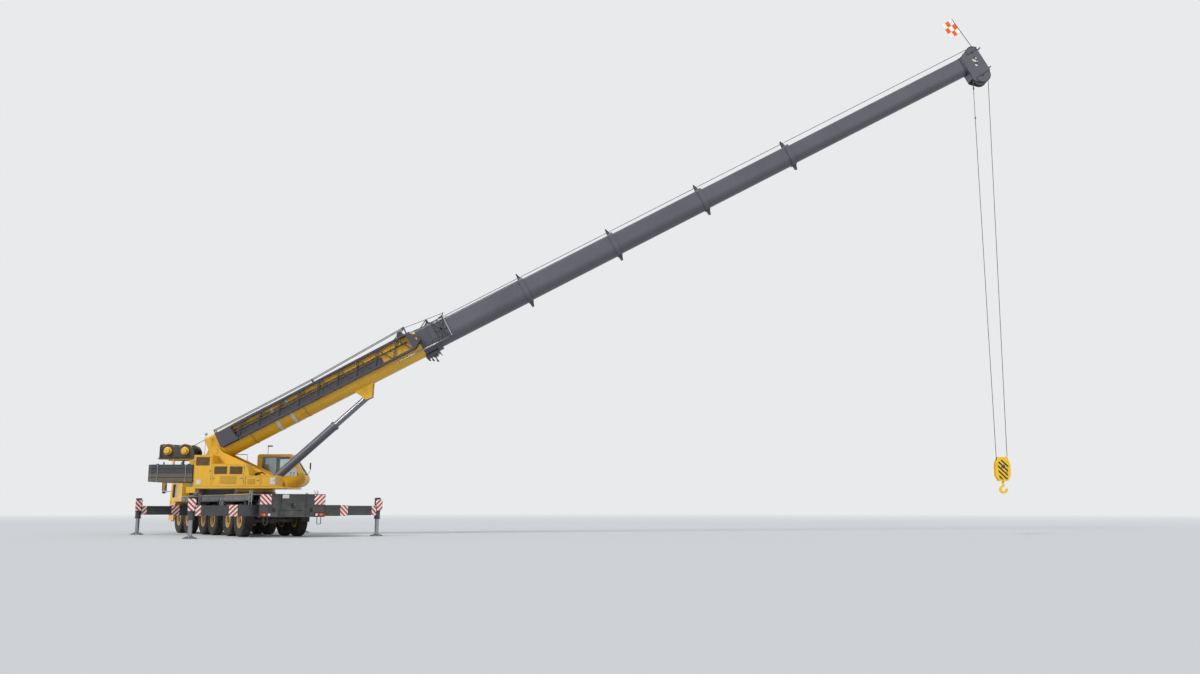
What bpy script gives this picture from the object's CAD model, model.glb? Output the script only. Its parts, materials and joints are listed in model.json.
"""Looks of a six axle mobile crane at half size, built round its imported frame."""

import json
import logging
import math
from dataclasses import dataclass, field
from enum import Enum

import bmesh
import bpy
import numpy as np
from mathutils import Euler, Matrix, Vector


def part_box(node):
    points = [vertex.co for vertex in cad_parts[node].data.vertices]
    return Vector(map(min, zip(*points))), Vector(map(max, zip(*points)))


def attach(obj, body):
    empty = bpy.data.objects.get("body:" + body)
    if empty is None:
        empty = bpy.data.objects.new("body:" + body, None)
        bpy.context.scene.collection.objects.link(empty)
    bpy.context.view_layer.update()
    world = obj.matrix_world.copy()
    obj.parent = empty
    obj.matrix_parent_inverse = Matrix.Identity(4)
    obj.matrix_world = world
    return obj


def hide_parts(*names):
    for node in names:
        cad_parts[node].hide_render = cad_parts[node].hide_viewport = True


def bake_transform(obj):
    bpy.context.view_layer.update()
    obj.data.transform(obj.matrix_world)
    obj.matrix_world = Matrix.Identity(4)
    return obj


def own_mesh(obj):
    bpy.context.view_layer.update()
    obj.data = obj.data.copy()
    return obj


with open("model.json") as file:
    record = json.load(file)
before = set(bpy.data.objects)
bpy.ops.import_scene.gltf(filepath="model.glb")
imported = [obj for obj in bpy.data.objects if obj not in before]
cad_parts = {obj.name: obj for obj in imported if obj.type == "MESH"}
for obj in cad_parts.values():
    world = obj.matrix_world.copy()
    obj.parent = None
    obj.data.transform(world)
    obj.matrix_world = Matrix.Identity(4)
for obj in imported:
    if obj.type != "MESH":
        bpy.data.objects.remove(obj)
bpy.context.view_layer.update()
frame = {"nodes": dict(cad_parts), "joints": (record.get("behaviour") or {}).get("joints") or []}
LOG = logging.getLogger("crane")
Tree, Socket = bpy.types.NodeTree, bpy.types.NodeSocket
JOINTS = {joint["name"]: joint for joint in frame["joints"]}
MM = 0.001
SIDES = ("left", "right")
BOXES = ("front", "rear")
AXLES = (1, 2, 3, 4, 5, 6)
STEERED = (1, 2, 5, 6)
SHARP_DEG, BEVEL_DEG, BEVEL_SEGMENTS = 35.0, 40, 2
AXLE_X = (3750, 2925, 1575, 800, -375, -1200)
SIGNS = (1, -1)
SIDED = tuple(zip(SIDES, SIGNS))
BOARD_PITCH_MM = 74.0
ROPE_R_MM = 7.2
DRUMS_X, DRUMS_Z = (-1640, -2050), 1995
BOXES_X, BEAM_OFFSET, JACK_Y = (2250, -2300), 105, 2075
TOP_SHEAVE, LOW_SHEAVE = (21330, 320), (21265, -335)
STRIPE_RED = "#b3231d"
STRIPE_WHITE = "#e6e4de"
ALONG = tuple(float(v) for v in JOINTS["extend_1"]["axis"])
ALONG_PIN = float(np.dot(ALONG, JOINTS["luff"]["pos_m"]))
LEFT = tuple(float(v) for v in JOINTS["spin_wheel_1_left"]["axis"])


def linear(code: str) -> tuple[float, float, float, float]:
    """Turns an sRGB hex colour into a linear one.

    Args:
        code: Six hex digits with a leading #.

    Returns:
        Red, green, blue and an alpha of 1.
    """
    parts = np.array([int(code[i:i + 2], 16) for i in (1, 3, 5)]) / 255
    low, high = parts / 12.92, ((parts + 0.055) / 1.055) ** 2.4
    return (*np.where(parts <= 0.04045, low, high).tolist(), 1.0)


def add(tree: Tree, kind: str, inputs: dict | None = None, **settings) -> bpy.types.Node:
    """Adds one node to a material.

    Args:
        tree: The material's node tree.
        kind: The node's type name.
        inputs: Socket name or number to its plain value, or to the output that feeds it.
        **settings: Properties of the node itself.

    Returns:
        The new node.
    """
    node = tree.nodes.new(kind)
    for key, value in settings.items():
        setattr(node, key, value)
    for key, value in (inputs or {}).items():
        if isinstance(value, Socket):
            tree.links.new(value, node.inputs[key])
        else:
            node.inputs[key].default_value = value
    return node


def noise(tree: Tree, place: Socket, scale: float, detail: float, roughness: float = 0.5) -> Socket:
    """Soft noise between 0 and 1, with about scale blots to the metre."""
    return add(tree, "ShaderNodeTexNoise", {"Scale": scale, "Detail": detail, "Roughness": roughness,
                                            "Vector": place}).outputs["Fac"]


def ranged(tree: Tree, value: Socket, low: float, high: float, to_low: float = 0.0,
           to_high: float = 1.0) -> Socket:
    """Carries a value from low..high over to to_low..to_high, and holds it there."""
    return add(tree, "ShaderNodeMapRange", {"From Min": low, "From Max": high, "To Min": to_low,
                                            "To Max": to_high, "Value": value}).outputs["Result"]


def maths(tree: Tree, operation: str, *terms: Socket | float, **settings) -> Socket:
    """One step of arithmetic, each term an output or a number."""
    return add(tree, "ShaderNodeMath", dict(enumerate(terms)), operation=operation, **settings).outputs[0]


def mix(tree: Tree, share: Socket | float, first, second, blend_type: str = "MIX") -> Socket:
    """Goes from the first colour to the second by a share, each an output or a plain colour."""
    return add(tree, "ShaderNodeMix", {"Factor": share, "A": first, "B": second}, data_type="RGBA",
               blend_type=blend_type).outputs["Result"]


def mapped(tree: Tree, place: Socket, **inputs) -> Socket:
    """Coordinates turned or scaled."""
    return add(tree, "ShaderNodeMapping", {**inputs, "Vector": place}).outputs["Vector"]


def bands(tree: Tree, value: Socket, per_metre: float) -> Socket:
    """One and nothing by turns along a value, each for half a pitch."""
    saw = maths(tree, "FRACT", maths(tree, "MULTIPLY", value, per_metre))
    return maths(tree, "GREATER_THAN", saw, 0.5)


def skin(tree: Tree, colour: Socket, roughness: Socket | float, height: Socket, strength: float,
         distance: float, **more) -> Socket:
    """A surface of one colour and roughness whose height stands up by a distance in metres.

    Args:
        tree: The material's node tree.
        colour: The output that gives the colour.
        roughness: An output or a number.
        height: The output that gives the height, 0 to 1.
        strength: How much of the height shows.
        distance: The height of 1, in metres.
        **more: Other inputs of the shader, with an underscore for each space.

    Returns:
        The shader's output.
    """
    bump = add(tree, "ShaderNodeBump", {"Strength": strength, "Distance": distance, "Height": height})
    inputs = {key.replace("_", " "): value for key, value in more.items()}
    return add(tree, "ShaderNodeBsdfPrincipled", {"Base Color": colour, "Roughness": roughness, **inputs,
                                                  "Normal": bump.outputs["Normal"]}).outputs["BSDF"]


@dataclass(frozen=True)
class Finish:
    """A surface, with the parts that every finish shares."""

    name: str

    def material(self) -> bpy.types.Material:
        """Returns the material, made once and then kept."""
        found = bpy.data.materials.get(self.name)
        if found:
            return found
        made = bpy.data.materials.new(self.name)
        made.use_nodes = True
        tree = made.node_tree
        tree.nodes.clear()
        place = add(tree, "ShaderNodeTexCoord").outputs["Object"]
        add(tree, "ShaderNodeOutputMaterial", {"Surface": self.shader(tree, place)})
        return made

    def shader(self, tree: Tree, place: Socket) -> Socket:
        """Builds the shader and returns its output."""
        raise NotImplementedError


@dataclass(frozen=True)
class PaintedSteel(Finish):
    """Sprayed machine paint on steel plate: slightly uneven colour, rain streaks and road dust low down."""

    colour: str = "#888888"
    dust: str = "#8d8578"
    roughness: float = 0.38
    dust_share: float = 0.25
    dust_top: float = 0.9
    streak_share: float = 0.18
    metallic: float = 0.0
    plate_mm: float = 0.0

    def shader(self, tree: Tree, place: Socket) -> Socket:
        """Paint whose colour drifts over about a metre, with streaks 30 mm wide and dust by height."""
        tone = ranged(tree, noise(tree, place, 1.1, 5.0, 0.6), 0.3, 0.7, 0.9, 1.06)
        colour = mix(tree, 1.0, self.base(tree, place), tone, "MULTIPLY")
        rain = noise(tree, mapped(tree, place, Scale=(30.0, 30.0, 1.6)), 1.0, 3.0)
        colour = mix(tree, ranged(tree, rain, 0.52, 0.78, 0.0, self.streak_share), colour, linear("#3a3733"))
        height = add(tree, "ShaderNodeSeparateXYZ", {"Vector": place}).outputs["Z"]
        low = ranged(tree, height, 0.0, self.dust_top, 1.0, 0.0)
        cloudy = ranged(tree, noise(tree, place, 7.0, 6.0, 0.7), 0.35, 0.75)
        dusty = maths(tree, "MULTIPLY", maths(tree, "MULTIPLY", low, cloudy), self.dust_share * 2,
                      use_clamp=True)
        colour = mix(tree, dusty, colour, linear(self.dust))
        rough = ranged(tree, dusty, 0.0, 1.0, self.roughness, min(self.roughness + 0.35, 1.0))
        # Orange peel of the paint, a few millimetres across
        relief, distance = noise(tree, place, 260.0, 2.0), 0.0004
        if self.plate_mm:
            relief, distance = self.raised_bars(tree, place), 0.0015
        return skin(tree, colour, rough, relief, 0.35, distance, Metallic=self.metallic, IOR=1.5,
                    Coat_Weight=0.15, Coat_Roughness=0.25)

    def base(self, tree: Tree, place: Socket) -> Socket | tuple:
        """Colour before wear: an output or one plain colour."""
        return linear(self.colour)

    def raised_bars(self, tree: Tree, place: Socket) -> Socket:
        """Tread plate: short raised bars, plate_mm apart, turned by turns, as the larger of two fields."""
        scale = 1000 / self.plate_mm / 2
        waves = []
        for turn in (45, -45):
            along = mapped(tree, place, Rotation=(0.0, 0.0, math.radians(turn)),
                           Scale=(scale, scale * 3, scale))
            cell = add(tree, "ShaderNodeTexVoronoi", {"Scale": 1.0, "Randomness": 0.0, "Vector": along})
            waves.append(ranged(tree, cell.outputs["Distance"], 0.2, 0.34, 1.0, 0.0))
        return maths(tree, "MAXIMUM", *waves)


class Slant(Enum):
    """Which way warning stripes lean, seen from outside."""

    RISING = 1
    FALLING = -1


@dataclass(frozen=True)
class BandedPaint(PaintedSteel):
    """Machine paint with one stretch of the part in a second colour or in warning stripes.

    The stretch lies between two distances along a direction, on both sides of the middle where asked.
    """

    direction: tuple[float, float, float] = (1.0, 0.0, 0.0)
    start: float = 0.0
    stop: float = 1.0
    both_ways: bool = False
    second: str = "#4b4a52"
    striped: bool = False
    pitch_mm: float = 90.0

    def base(self, tree: Tree, place: Socket) -> Socket:
        """The first colour, and the second one where the distance along the direction is in the stretch."""
        reach = add(tree, "ShaderNodeVectorMath", {0: place, 1: self.direction}, operation="DOT_PRODUCT")
        reach = reach.outputs["Value"]
        if self.both_ways:
            reach = maths(tree, "ABSOLUTE", reach)
        inside = maths(tree, "MULTIPLY", maths(tree, "GREATER_THAN", reach, self.start),
                       maths(tree, "LESS_THAN", reach, self.stop))
        second = linear(self.second)
        if self.striped:
            height = add(tree, "ShaderNodeSeparateXYZ", {"Vector": place}).outputs["Z"]
            lean = maths(tree, "ADD", reach, height)
            # 707 is a thousand over the square root of two, as reach and height add up at 45 degrees
            second = mix(tree, bands(tree, lean, 707 / self.pitch_mm), second, linear(STRIPE_WHITE))
        return mix(tree, inside, linear(self.colour), second)


@dataclass(frozen=True)
class StripedPaint(Finish):
    """Warning paint in slanted bands of two colours, sprayed with a mask and a little scuffed."""

    first: str = STRIPE_RED
    second: str = STRIPE_WHITE
    pitch_mm: float = 90.0
    along: tuple[float, float, float] = (1.0, 0.0, 1.0)
    roughness: float = 0.42

    def shader(self, tree: Tree, place: Socket) -> Socket:
        """Bands across the direction along, each half a pitch wide, with scuffs 40 mm across."""
        across = add(tree, "ShaderNodeVectorMath", {0: place, 1: Vector(self.along).normalized()},
                     operation="DOT_PRODUCT").outputs["Value"]
        colour = mix(tree, bands(tree, across, 1000 / self.pitch_mm), linear(self.first), linear(self.second))
        worn = ranged(tree, noise(tree, place, 25.0, 6.0, 0.7), 0.6, 0.75, 0.0, 0.45)
        return add(tree, "ShaderNodeBsdfPrincipled",
                   {"Roughness": self.roughness, "IOR": 1.5,
                    "Base Color": mix(tree, worn, colour, linear("#5b554c"))}).outputs["BSDF"]


@dataclass(frozen=True)
class BareSteel(Finish):
    """Steel without paint: turned, ground, forged or chromed, with a fine grain and some oil haze."""

    colour: str = "#8c8e90"
    roughness: float = 0.35
    metallic: float = 1.0
    line_mm: float = 4.0
    stain: str = "#4a3d30"
    stain_share: float = 0.2

    def shader(self, tree: Tree, place: Socket) -> Socket:
        """Metal whose roughness follows fine noise and whose colour darkens in stains."""
        fine = noise(tree, place, 1000 / self.line_mm, 3.0)
        rough = ranged(tree, fine, 0.0, 1.0, max(self.roughness - 0.08, 0.04), self.roughness + 0.12)
        blot = ranged(tree, noise(tree, place, 9.0, 6.0, 0.7), 0.48, 0.75, 0.0, self.stain_share)
        colour = mix(tree, blot, linear(self.colour), linear(self.stain))
        return skin(tree, colour, rough, fine, 0.2, 0.0003, Metallic=self.metallic)


@dataclass(frozen=True)
class Rubber(Finish):
    """Moulded rubber: near black, matt, greyed by dust that lies in its hollows."""

    colour: str = "#1b1b1c"
    dust: str = "#6f675b"
    dust_share: float = 0.35

    def shader(self, tree: Tree, place: Socket) -> Socket:
        """Dark base with dust in clouds of about 80 mm and a fine grain."""
        cloud = ranged(tree, noise(tree, place, 12.0, 7.0, 0.65), 0.4, 0.75, 0.06, self.dust_share)
        colour = mix(tree, cloud, linear(self.colour), linear(self.dust))
        return skin(tree, colour, 0.82, noise(tree, place, 400.0, 2.0), 0.3, 0.0006, IOR=1.52,
                    Specular_IOR_Level=0.35)


@dataclass(frozen=True)
class SafetyGlass(Finish):
    """Laminated window glass with a grey tint and a thin film of dust."""

    tint: str = "#b9c6c8"
    roughness: float = 0.03

    def shader(self, tree: Tree, place: Socket) -> Socket:
        """Mostly clear glass, with dust that raises the roughness in clouds."""
        film = ranged(tree, noise(tree, place, 6.0, 5.0), 0.4, 0.8, self.roughness, 0.14)
        return add(tree, "ShaderNodeBsdfPrincipled",
                   {"Base Color": linear(self.tint), "IOR": 1.5, "Roughness": film,
                    "Transmission Weight": 0.92}).outputs["BSDF"]


@dataclass(frozen=True)
class WireRope(Finish):
    """Greased wire rope: strands laid in a spiral, dark in the grooves between them."""

    colour: str = "#5d5a55"
    groove: str = "#23211f"
    pitch_mm: float = 60.0

    def shader(self, tree: Tree, place: Socket) -> Socket:
        """Slanted bands along the rope. The lay is drawn four times as coarse as it is, so that it shows."""
        slant = mapped(tree, place, Rotation=(0.0, math.radians(35), 0.0))
        lay = add(tree, "ShaderNodeTexWave", {"Scale": 1000 / self.pitch_mm / 2, "Distortion": 0.2,
                                              "Vector": slant}, bands_direction="Z").outputs["Fac"]
        colour = mix(tree, lay, linear(self.groove), linear(self.colour))
        return skin(tree, colour, 0.5, lay, 0.5, 0.002, Metallic=0.7)


@dataclass(frozen=True)
class CheckedCloth(Finish):
    """Woven flag cloth in two colours of checks, printed along the cloth's own UV map."""

    first: str = "#e2571f"
    second: str = "#ece8df"
    checks: tuple[int, int] = (3, 3)
    thread_mm: float = 3.0

    def shader(self, tree: Tree, place: Socket) -> Socket:
        """Checks follow the cloth. The weave is drawn ten times as coarse as it is, so that it shows."""
        chart = add(tree, "ShaderNodeUVMap", uv_map="cloth").outputs["UV"]
        checks = add(tree, "ShaderNodeTexChecker",
                     {"Scale": 1.0, "Color1": linear(self.first), "Color2": linear(self.second),
                      "Vector": mapped(tree, chart, Scale=(*self.checks, 1.0))})
        weave = add(tree, "ShaderNodeTexWave", {"Scale": 1000 / self.thread_mm / 20, "Vector": place},
                    bands_direction="DIAGONAL")
        return skin(tree, checks.outputs["Color"], 0.85, weave.outputs["Fac"], 0.2, 0.0008, Sheen_Weight=0.3)


@dataclass(frozen=True)
class MouldedPlastic(Finish):
    """Moulded ABS or polypropylene with a fine grain."""

    colour: str = "#202226"
    roughness: float = 0.55

    def shader(self, tree: Tree, place: Socket) -> Socket:
        """One colour that drifts a little, over a leather-like grain of 4 mm."""
        grain = add(tree, "ShaderNodeTexVoronoi", {"Scale": 250.0, "Vector": place}).outputs["Distance"]
        tone = ranged(tree, noise(tree, place, 5.0, 4.0), 0.0, 1.0, 0.85, 1.15)
        colour = mix(tree, 1.0, linear(self.colour), tone, "MULTIPLY")
        return skin(tree, colour, self.roughness, grain, 0.15, 0.0004, IOR=1.46)


@dataclass(frozen=True)
class LampLens(Finish):
    """Moulded acrylic lens over a reflector, ribbed, with a deep colour."""

    colour: str = "#c81414"
    rib_mm: float = 12.0

    def shader(self, tree: Tree, place: Socket) -> Socket:
        """Glossy coloured lens with ribs across it."""
        ribs = add(tree, "ShaderNodeTexWave", {"Scale": 1000 / self.rib_mm / 20, "Vector": place},
                   bands_direction="Z").outputs["Fac"]
        colour = mix(tree, 1.0, linear(self.colour), ranged(tree, ribs, 0.0, 1.0, 0.75, 1.1), "MULTIPLY")
        return skin(tree, colour, 0.12, ribs, 0.4, 0.001, IOR=1.49, Coat_Weight=0.6)


YELLOW = PaintedSteel("machine_yellow_paint", colour="#dba724", dust_share=0.12, dust_top=1.6)
CARRIER_DARK = PaintedSteel("carrier_dark_paint", colour="#24282c", dust_share=0.4, dust_top=1.0)
DECK_PLATE = PaintedSteel("deck_tread_plate_paint", colour="#3f4548", dust_share=0.4, dust_top=1.4,
                          plate_mm=45.0)
BOOM_GREY = PaintedSteel("boom_grey_paint", colour="#515159", dust_share=0.0, streak_share=0.12)
MAST_GREY = PaintedSteel("mast_grey_paint", colour="#3d3c44", dust_share=0.0, streak_share=0.1)
WINCH_BROWN = PaintedSteel("winch_brown_paint", colour="#35312c", roughness=0.55, dust_share=0.1)
ENGINE_GREY = PaintedSteel("engine_grey_paint", colour="#6a6c6e", roughness=0.6)
AXLE_BLACK = PaintedSteel("axle_black_paint", colour="#25282a", roughness=0.55, dust_share=0.6, dust_top=0.8)
RIM_YELLOW = PaintedSteel("rim_yellow_paint", colour="#cf9526", dust_share=0.45, dust_top=0.9)
HOOK_YELLOW = PaintedSteel("hook_yellow_paint", colour="#e5b713", dust_share=0.0)
CHROME = BareSteel("chromed_rod", colour="#7d8084", roughness=0.3, stain_share=0.08)
JACK_STEEL = BareSteel("ground_jack_steel", colour="#9a9da0", roughness=0.3)
FORGED = BareSteel("forged_hook_steel", colour="#4f4c48", roughness=0.55, metallic=0.8)
OUTER_BEAM = BandedPaint("outer_beam_paint", colour="#262a30", direction=LEFT, start=1.128, stop=1.33,
                         both_ways=True, second=STRIPE_RED, striped=True, pitch_mm=BOARD_PITCH_MM)
BASE_YELLOW = BandedPaint("base_yellow_paint", colour="#dba724", dust_share=0.05, streak_share=0.2,
                          direction=ALONG, start=ALONG_PIN + 5.48, stop=ALONG_PIN + 7.0, second="#45454c")
HEAD_SHADE = PaintedSteel("head_shade_paint", colour="#2b2b31", dust_share=0.0)
INNER_BEAM = BandedPaint("inner_beam_paint", colour="#262a30", direction=LEFT, start=1.9, stop=2.01,
                         both_ways=True, second=STRIPE_RED, striped=True, pitch_mm=BOARD_PITCH_MM)
BALLAST = BandedPaint("ballast_slate_paint", colour="#2c2d34", roughness=0.6, dust_share=0.25, dust_top=1.7,
                      direction=(0.0, 0.0, 1.0), start=1.2, stop=1.452, second="#52483e")
SIGN_WHITE = PaintedSteel("blank_sign_white", colour="#c9c8c2", dust_share=0.05, streak_share=0.08)
YELLOW_SHADE = PaintedSteel("shaded_yellow_paint", colour="#bb8c1c", dust_share=0.1, dust_top=1.6)
RAIL_GREY = PaintedSteel("galvanised_rail", colour="#9c9d9c", metallic=0.4, dust_share=0.1)
MIRROR = BareSteel("mirror_glass", colour="#c4ccd0", roughness=0.06, stain_share=0.05)
TYRE = Rubber("tyre_rubber")
GLASS = SafetyGlass("laminated_glass")
ROPE = WireRope("greased_wire_rope")
FLAG = CheckedCloth("checked_flag_cloth")
BLACK_PLASTIC = MouldedPlastic("black_moulded_plastic")
RED_LENS = LampLens("red_acrylic_lens")
AMBER_LENS = LampLens("amber_acrylic_lens", colour="#e0821a")
CLEAR_LENS = LampLens("clear_acrylic_lens", colour="#dfe3e4")


@dataclass
class Form:
    """Points and faces as arrays. Each array of faces holds faces with one number of corners."""

    verts: np.ndarray
    faces: list[np.ndarray]

    def placed(self, matrix: np.ndarray) -> "Form":
        """Returns the form moved by a 4 by 4 matrix."""
        return Form(self.verts @ matrix[:3, :3].T + matrix[:3, 3], self.faces)

    def repeated(self, matrices: np.ndarray) -> "Form":
        """Copies the form to many places at once.

        Args:
            matrices: An array of 4 by 4 matrices, one for each copy.

        Returns:
            One form that holds every copy.
        """
        count, size = len(matrices), len(self.verts)
        verts = np.einsum("mij,nj->mni", matrices[:, :3, :3], self.verts) + matrices[:, None, :3, 3]
        step = (np.arange(count) * size)[:, None, None]
        faces = [(f[None] + step).reshape(-1, f.shape[1]) for f in self.faces]
        return Form(verts.reshape(-1, 3), faces)

    @staticmethod
    def joined(forms: list["Form"]) -> "Form":
        """Returns all the forms as one."""
        starts = np.cumsum([0] + [len(f.verts) for f in forms])
        faces = [face + start for form, start in zip(forms, starts) for face in form.faces]
        return Form(np.concatenate([f.verts for f in forms]), faces)

    def mesh(self, name: str, smooth_deg: float = SHARP_DEG) -> bpy.types.Mesh:
        """Puts the arrays into a mesh, with edges sharper than smooth_deg kept sharp."""
        mesh = bpy.data.meshes.new(name)
        corners = np.concatenate([f.ravel() for f in self.faces]).astype(np.int32)
        sizes = np.concatenate([np.full(len(f), f.shape[1]) for f in self.faces])
        mesh.vertices.add(len(self.verts))
        mesh.vertices.foreach_set("co", self.verts.astype(np.float32).ravel())
        mesh.loops.add(len(corners))
        mesh.loops.foreach_set("vertex_index", corners)
        mesh.polygons.add(len(sizes))
        mesh.polygons.foreach_set("loop_start", np.concatenate([[0], np.cumsum(sizes)[:-1]]).astype(np.int32))
        mesh.update(calc_edges=True)
        mesh.validate()
        mesh.polygons.foreach_set("use_smooth", np.ones(len(mesh.polygons), bool))
        mesh.set_sharp_from_angle(angle=math.radians(smooth_deg))
        return mesh


def grid(points: np.ndarray, round_u: bool = False, round_v: bool = False) -> Form:
    """Joins a grid of points, u by v by 3, with quads, and closes it along u or v where asked."""
    nu, nv = points.shape[:2]
    u = np.arange(nu if round_u else nu - 1)[:, None]
    v = np.arange(nv if round_v else nv - 1)[None, :]
    u2, v2 = (u + 1) % nu, (v + 1) % nv
    quads = np.stack([u * nv + v, u2 * nv + v, u2 * nv + v2, u * nv + v2], -1).reshape(-1, 4)
    return Form(points.reshape(-1, 3), [quads])


def tube(path: np.ndarray, radius: float, sides: int = 10, ring: bool = False) -> Form:
    """Carries a circle along a path: each point is the path's point plus radius times a turning normal.

    Args:
        path: Points along the middle line.
        radius: Radius of the tube.
        sides: Corners of the circle.
        ring: Whether the last point joins the first.

    Returns:
        The tube, with closed ends unless it is a ring.
    """
    path = np.asarray(path, float)
    ahead = np.roll(path, -1, 0) - np.roll(path, 1, 0)
    if not ring:
        ahead[0], ahead[-1] = path[1] - path[0], path[-1] - path[-2]
    ahead /= np.linalg.norm(ahead, axis=1, keepdims=True)
    spread = path.max(0) - path.min(0)
    side = np.eye(3)[np.argmin(spread)]
    one = np.cross(ahead, side)
    one /= np.linalg.norm(one, axis=1, keepdims=True)
    two = np.cross(ahead, one)
    turn = np.linspace(0, 2 * np.pi, sides, endpoint=False)
    circle = np.cos(turn)[None, :, None] * one[:, None] + np.sin(turn)[None, :, None] * two[:, None]
    made = grid(path[:, None] + radius * circle, round_u=ring, round_v=True)
    if not ring:
        first = np.arange(sides)[None]
        made.faces.append(np.concatenate([first[:, ::-1], first + (len(path) - 1) * sides]))
    return made


def bars(starts: np.ndarray, ends: np.ndarray, radius: float, sides: int = 8) -> Form:
    """Straight round bars between many pairs of points at once."""
    starts, ends = np.asarray(starts, float), np.asarray(ends, float)
    run = ends - starts
    length = np.linalg.norm(run, axis=1, keepdims=True)
    ahead = run / length
    helper = np.where(np.abs(ahead[:, 2:3]) < 0.9, [[0.0, 0.0, 1.0]], [[1.0, 0.0, 0.0]])
    one = np.cross(helper, ahead)
    one /= np.linalg.norm(one, axis=1, keepdims=True)
    two = np.cross(ahead, one)
    places = np.tile(np.eye(4), (len(starts), 1, 1))
    places[:, :3, 0], places[:, :3, 1], places[:, :3, 2] = one, two, run
    places[:, :3, 3] = starts
    turn = np.linspace(0, 2 * np.pi, sides, endpoint=False)
    ringed = np.stack([np.cos(turn) * radius, np.sin(turn) * radius, np.zeros(sides)], -1)
    column = grid(np.stack([ringed, ringed + [0, 0, 1]]), round_v=True)
    first = np.arange(sides)[None]
    column.faces.append(np.concatenate([first[:, ::-1], first + sides]))
    return column.repeated(places)


def lathe(profile: np.ndarray, place: np.ndarray, turns: int = 48) -> Form:
    """Turns a profile of (radius, distance) pairs about the Z axis of a place, for a closed profile."""
    profile = np.asarray(profile, float)
    turn = np.linspace(0, 2 * np.pi, turns, endpoint=False)[:, None]
    points = np.stack([profile[:, 0] * np.cos(turn), profile[:, 0] * np.sin(turn),
                       np.broadcast_to(profile[:, 1], (turns, len(profile)))], -1)
    return grid(points, round_u=True, round_v=True).placed(place)


def cuboid(low: tuple, high: tuple) -> Form:
    """A block between any two opposite corners."""
    low, high = np.minimum(low, high).astype(float), np.maximum(low, high).astype(float)
    pick = np.array([[i & 1, i >> 1 & 1, i >> 2 & 1] for i in range(8)])
    quads = np.array([[0, 2, 3, 1], [4, 5, 7, 6], [0, 1, 5, 4], [2, 6, 7, 3], [0, 4, 6, 2], [1, 3, 7, 5]])
    return Form(low + pick * (high - low), [quads])


def plate(outline: np.ndarray, y0: float, y1: float) -> Form:
    """A flat outline of (x, z) pairs, carried across from y0 to y1."""
    outline = np.asarray(outline, float)
    count = len(outline)
    near = np.insert(outline, 1, y0, axis=1)
    far = np.insert(outline, 1, y1, axis=1)
    made = grid(np.stack([near, far]), round_v=True)
    first = np.arange(count)[None]
    made.faces.append(np.concatenate([first[:, ::-1], first + count]))
    return made


def turned(place: tuple | np.ndarray, axis: tuple | np.ndarray) -> np.ndarray:
    """A 4 by 4 matrix at a place, with its Z axis along the given axis."""
    matrix = np.array(Vector(axis).to_track_quat("Z", "X").to_matrix().to_4x4())
    matrix[:3, 3] = place
    return matrix


def steps(count: int, start: tuple, step: tuple) -> np.ndarray:
    """Matrices that move by whole steps from a start, without a turn."""
    places = np.tile(np.eye(4), (count, 1, 1))
    places[:, :3, 3] = np.asarray(start) + np.arange(count)[:, None] * np.asarray(step)
    return places


def outward(mesh: bpy.types.Mesh) -> None:
    """Turns every closed part's faces outwards."""
    work = bmesh.new()
    work.from_mesh(mesh)
    bmesh.ops.recalc_face_normals(work, faces=work.faces)
    work.to_mesh(mesh)
    work.free()


def show(form: Form, name: str, finish: Finish, body: str, bevel: float = 0.0,
         smooth_deg: float = SHARP_DEG) -> bpy.types.Object:
    """Makes a piece of the crane from a form.

    Args:
        form: Its shape, in the row frame.
        name: The piece's name.
        finish: Its surface.
        body: The body that it rides on.
        bevel: Width of its edges' bevel, in metres.
        smooth_deg: Angle above which an edge stays sharp.

    Returns:
        The piece.
    """
    piece = bpy.data.objects.new(name, form.mesh(name, smooth_deg))
    bpy.context.scene.collection.objects.link(piece)
    outward(piece.data)
    piece.data.materials.append(finish.material())
    if bevel:
        edge = piece.modifiers.new("edges", "BEVEL")
        edge.width, edge.segments, edge.limit_method = bevel, BEVEL_SEGMENTS, "ANGLE"
        edge.angle_limit = math.radians(BEVEL_DEG)
    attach(piece, body)
    LOG.info("built %s on %s", name, body)
    return piece


def dress(node: str, finish: Finish) -> None:
    """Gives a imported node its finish."""
    shown = frame["nodes"][node]
    if shown.material_slots:
        for held in shown.material_slots:
            held.material = finish.material()
    else:
        shown.data.materials.append(finish.material())


def carrier_place() -> np.ndarray:
    """The carrier's own axes, +X forward and +Y to its left, worked out from its axles' direction."""
    left = np.array(LEFT)
    place = np.eye(4)
    place[:3, 0], place[:3, 1] = (left[1], -left[0], 0.0), left
    return place


def boom_place() -> np.ndarray:
    """The boom's own axes at its pin, +X along the boom and +Z above it."""
    along = np.array(ALONG)
    place = np.eye(4)
    place[:3, 0], place[:3, 2] = along, (-along[2], 0.0, along[0])
    place[:3, 3] = JOINTS["luff"]["pos_m"]
    return place


CARRIER = carrier_place()
BOOM = boom_place()


def moved(place: tuple, turn: tuple = (0, 0, 0)) -> np.ndarray:
    """A 4 by 4 matrix at a place, turned by three angles in degrees."""
    matrix = np.array(Euler([math.radians(t) for t in turn]).to_matrix().to_4x4())
    matrix[:3, 3] = place
    return matrix


def ball(radius: float, centre: tuple, turns: int = 16) -> Form:
    """A ball, as a half circle turned about its middle."""
    half = np.linspace(-np.pi / 2, np.pi / 2, 9)
    profile = np.stack([radius * np.maximum(np.cos(half), 0.02), radius * np.sin(half)], -1)
    return lathe(profile, moved(centre), turns)


def rod(start: tuple, end: tuple, radius: float, sides: int = 10) -> Form:
    """One straight round bar."""
    return bars(np.array([start]), np.array([end]), radius, sides)


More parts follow.
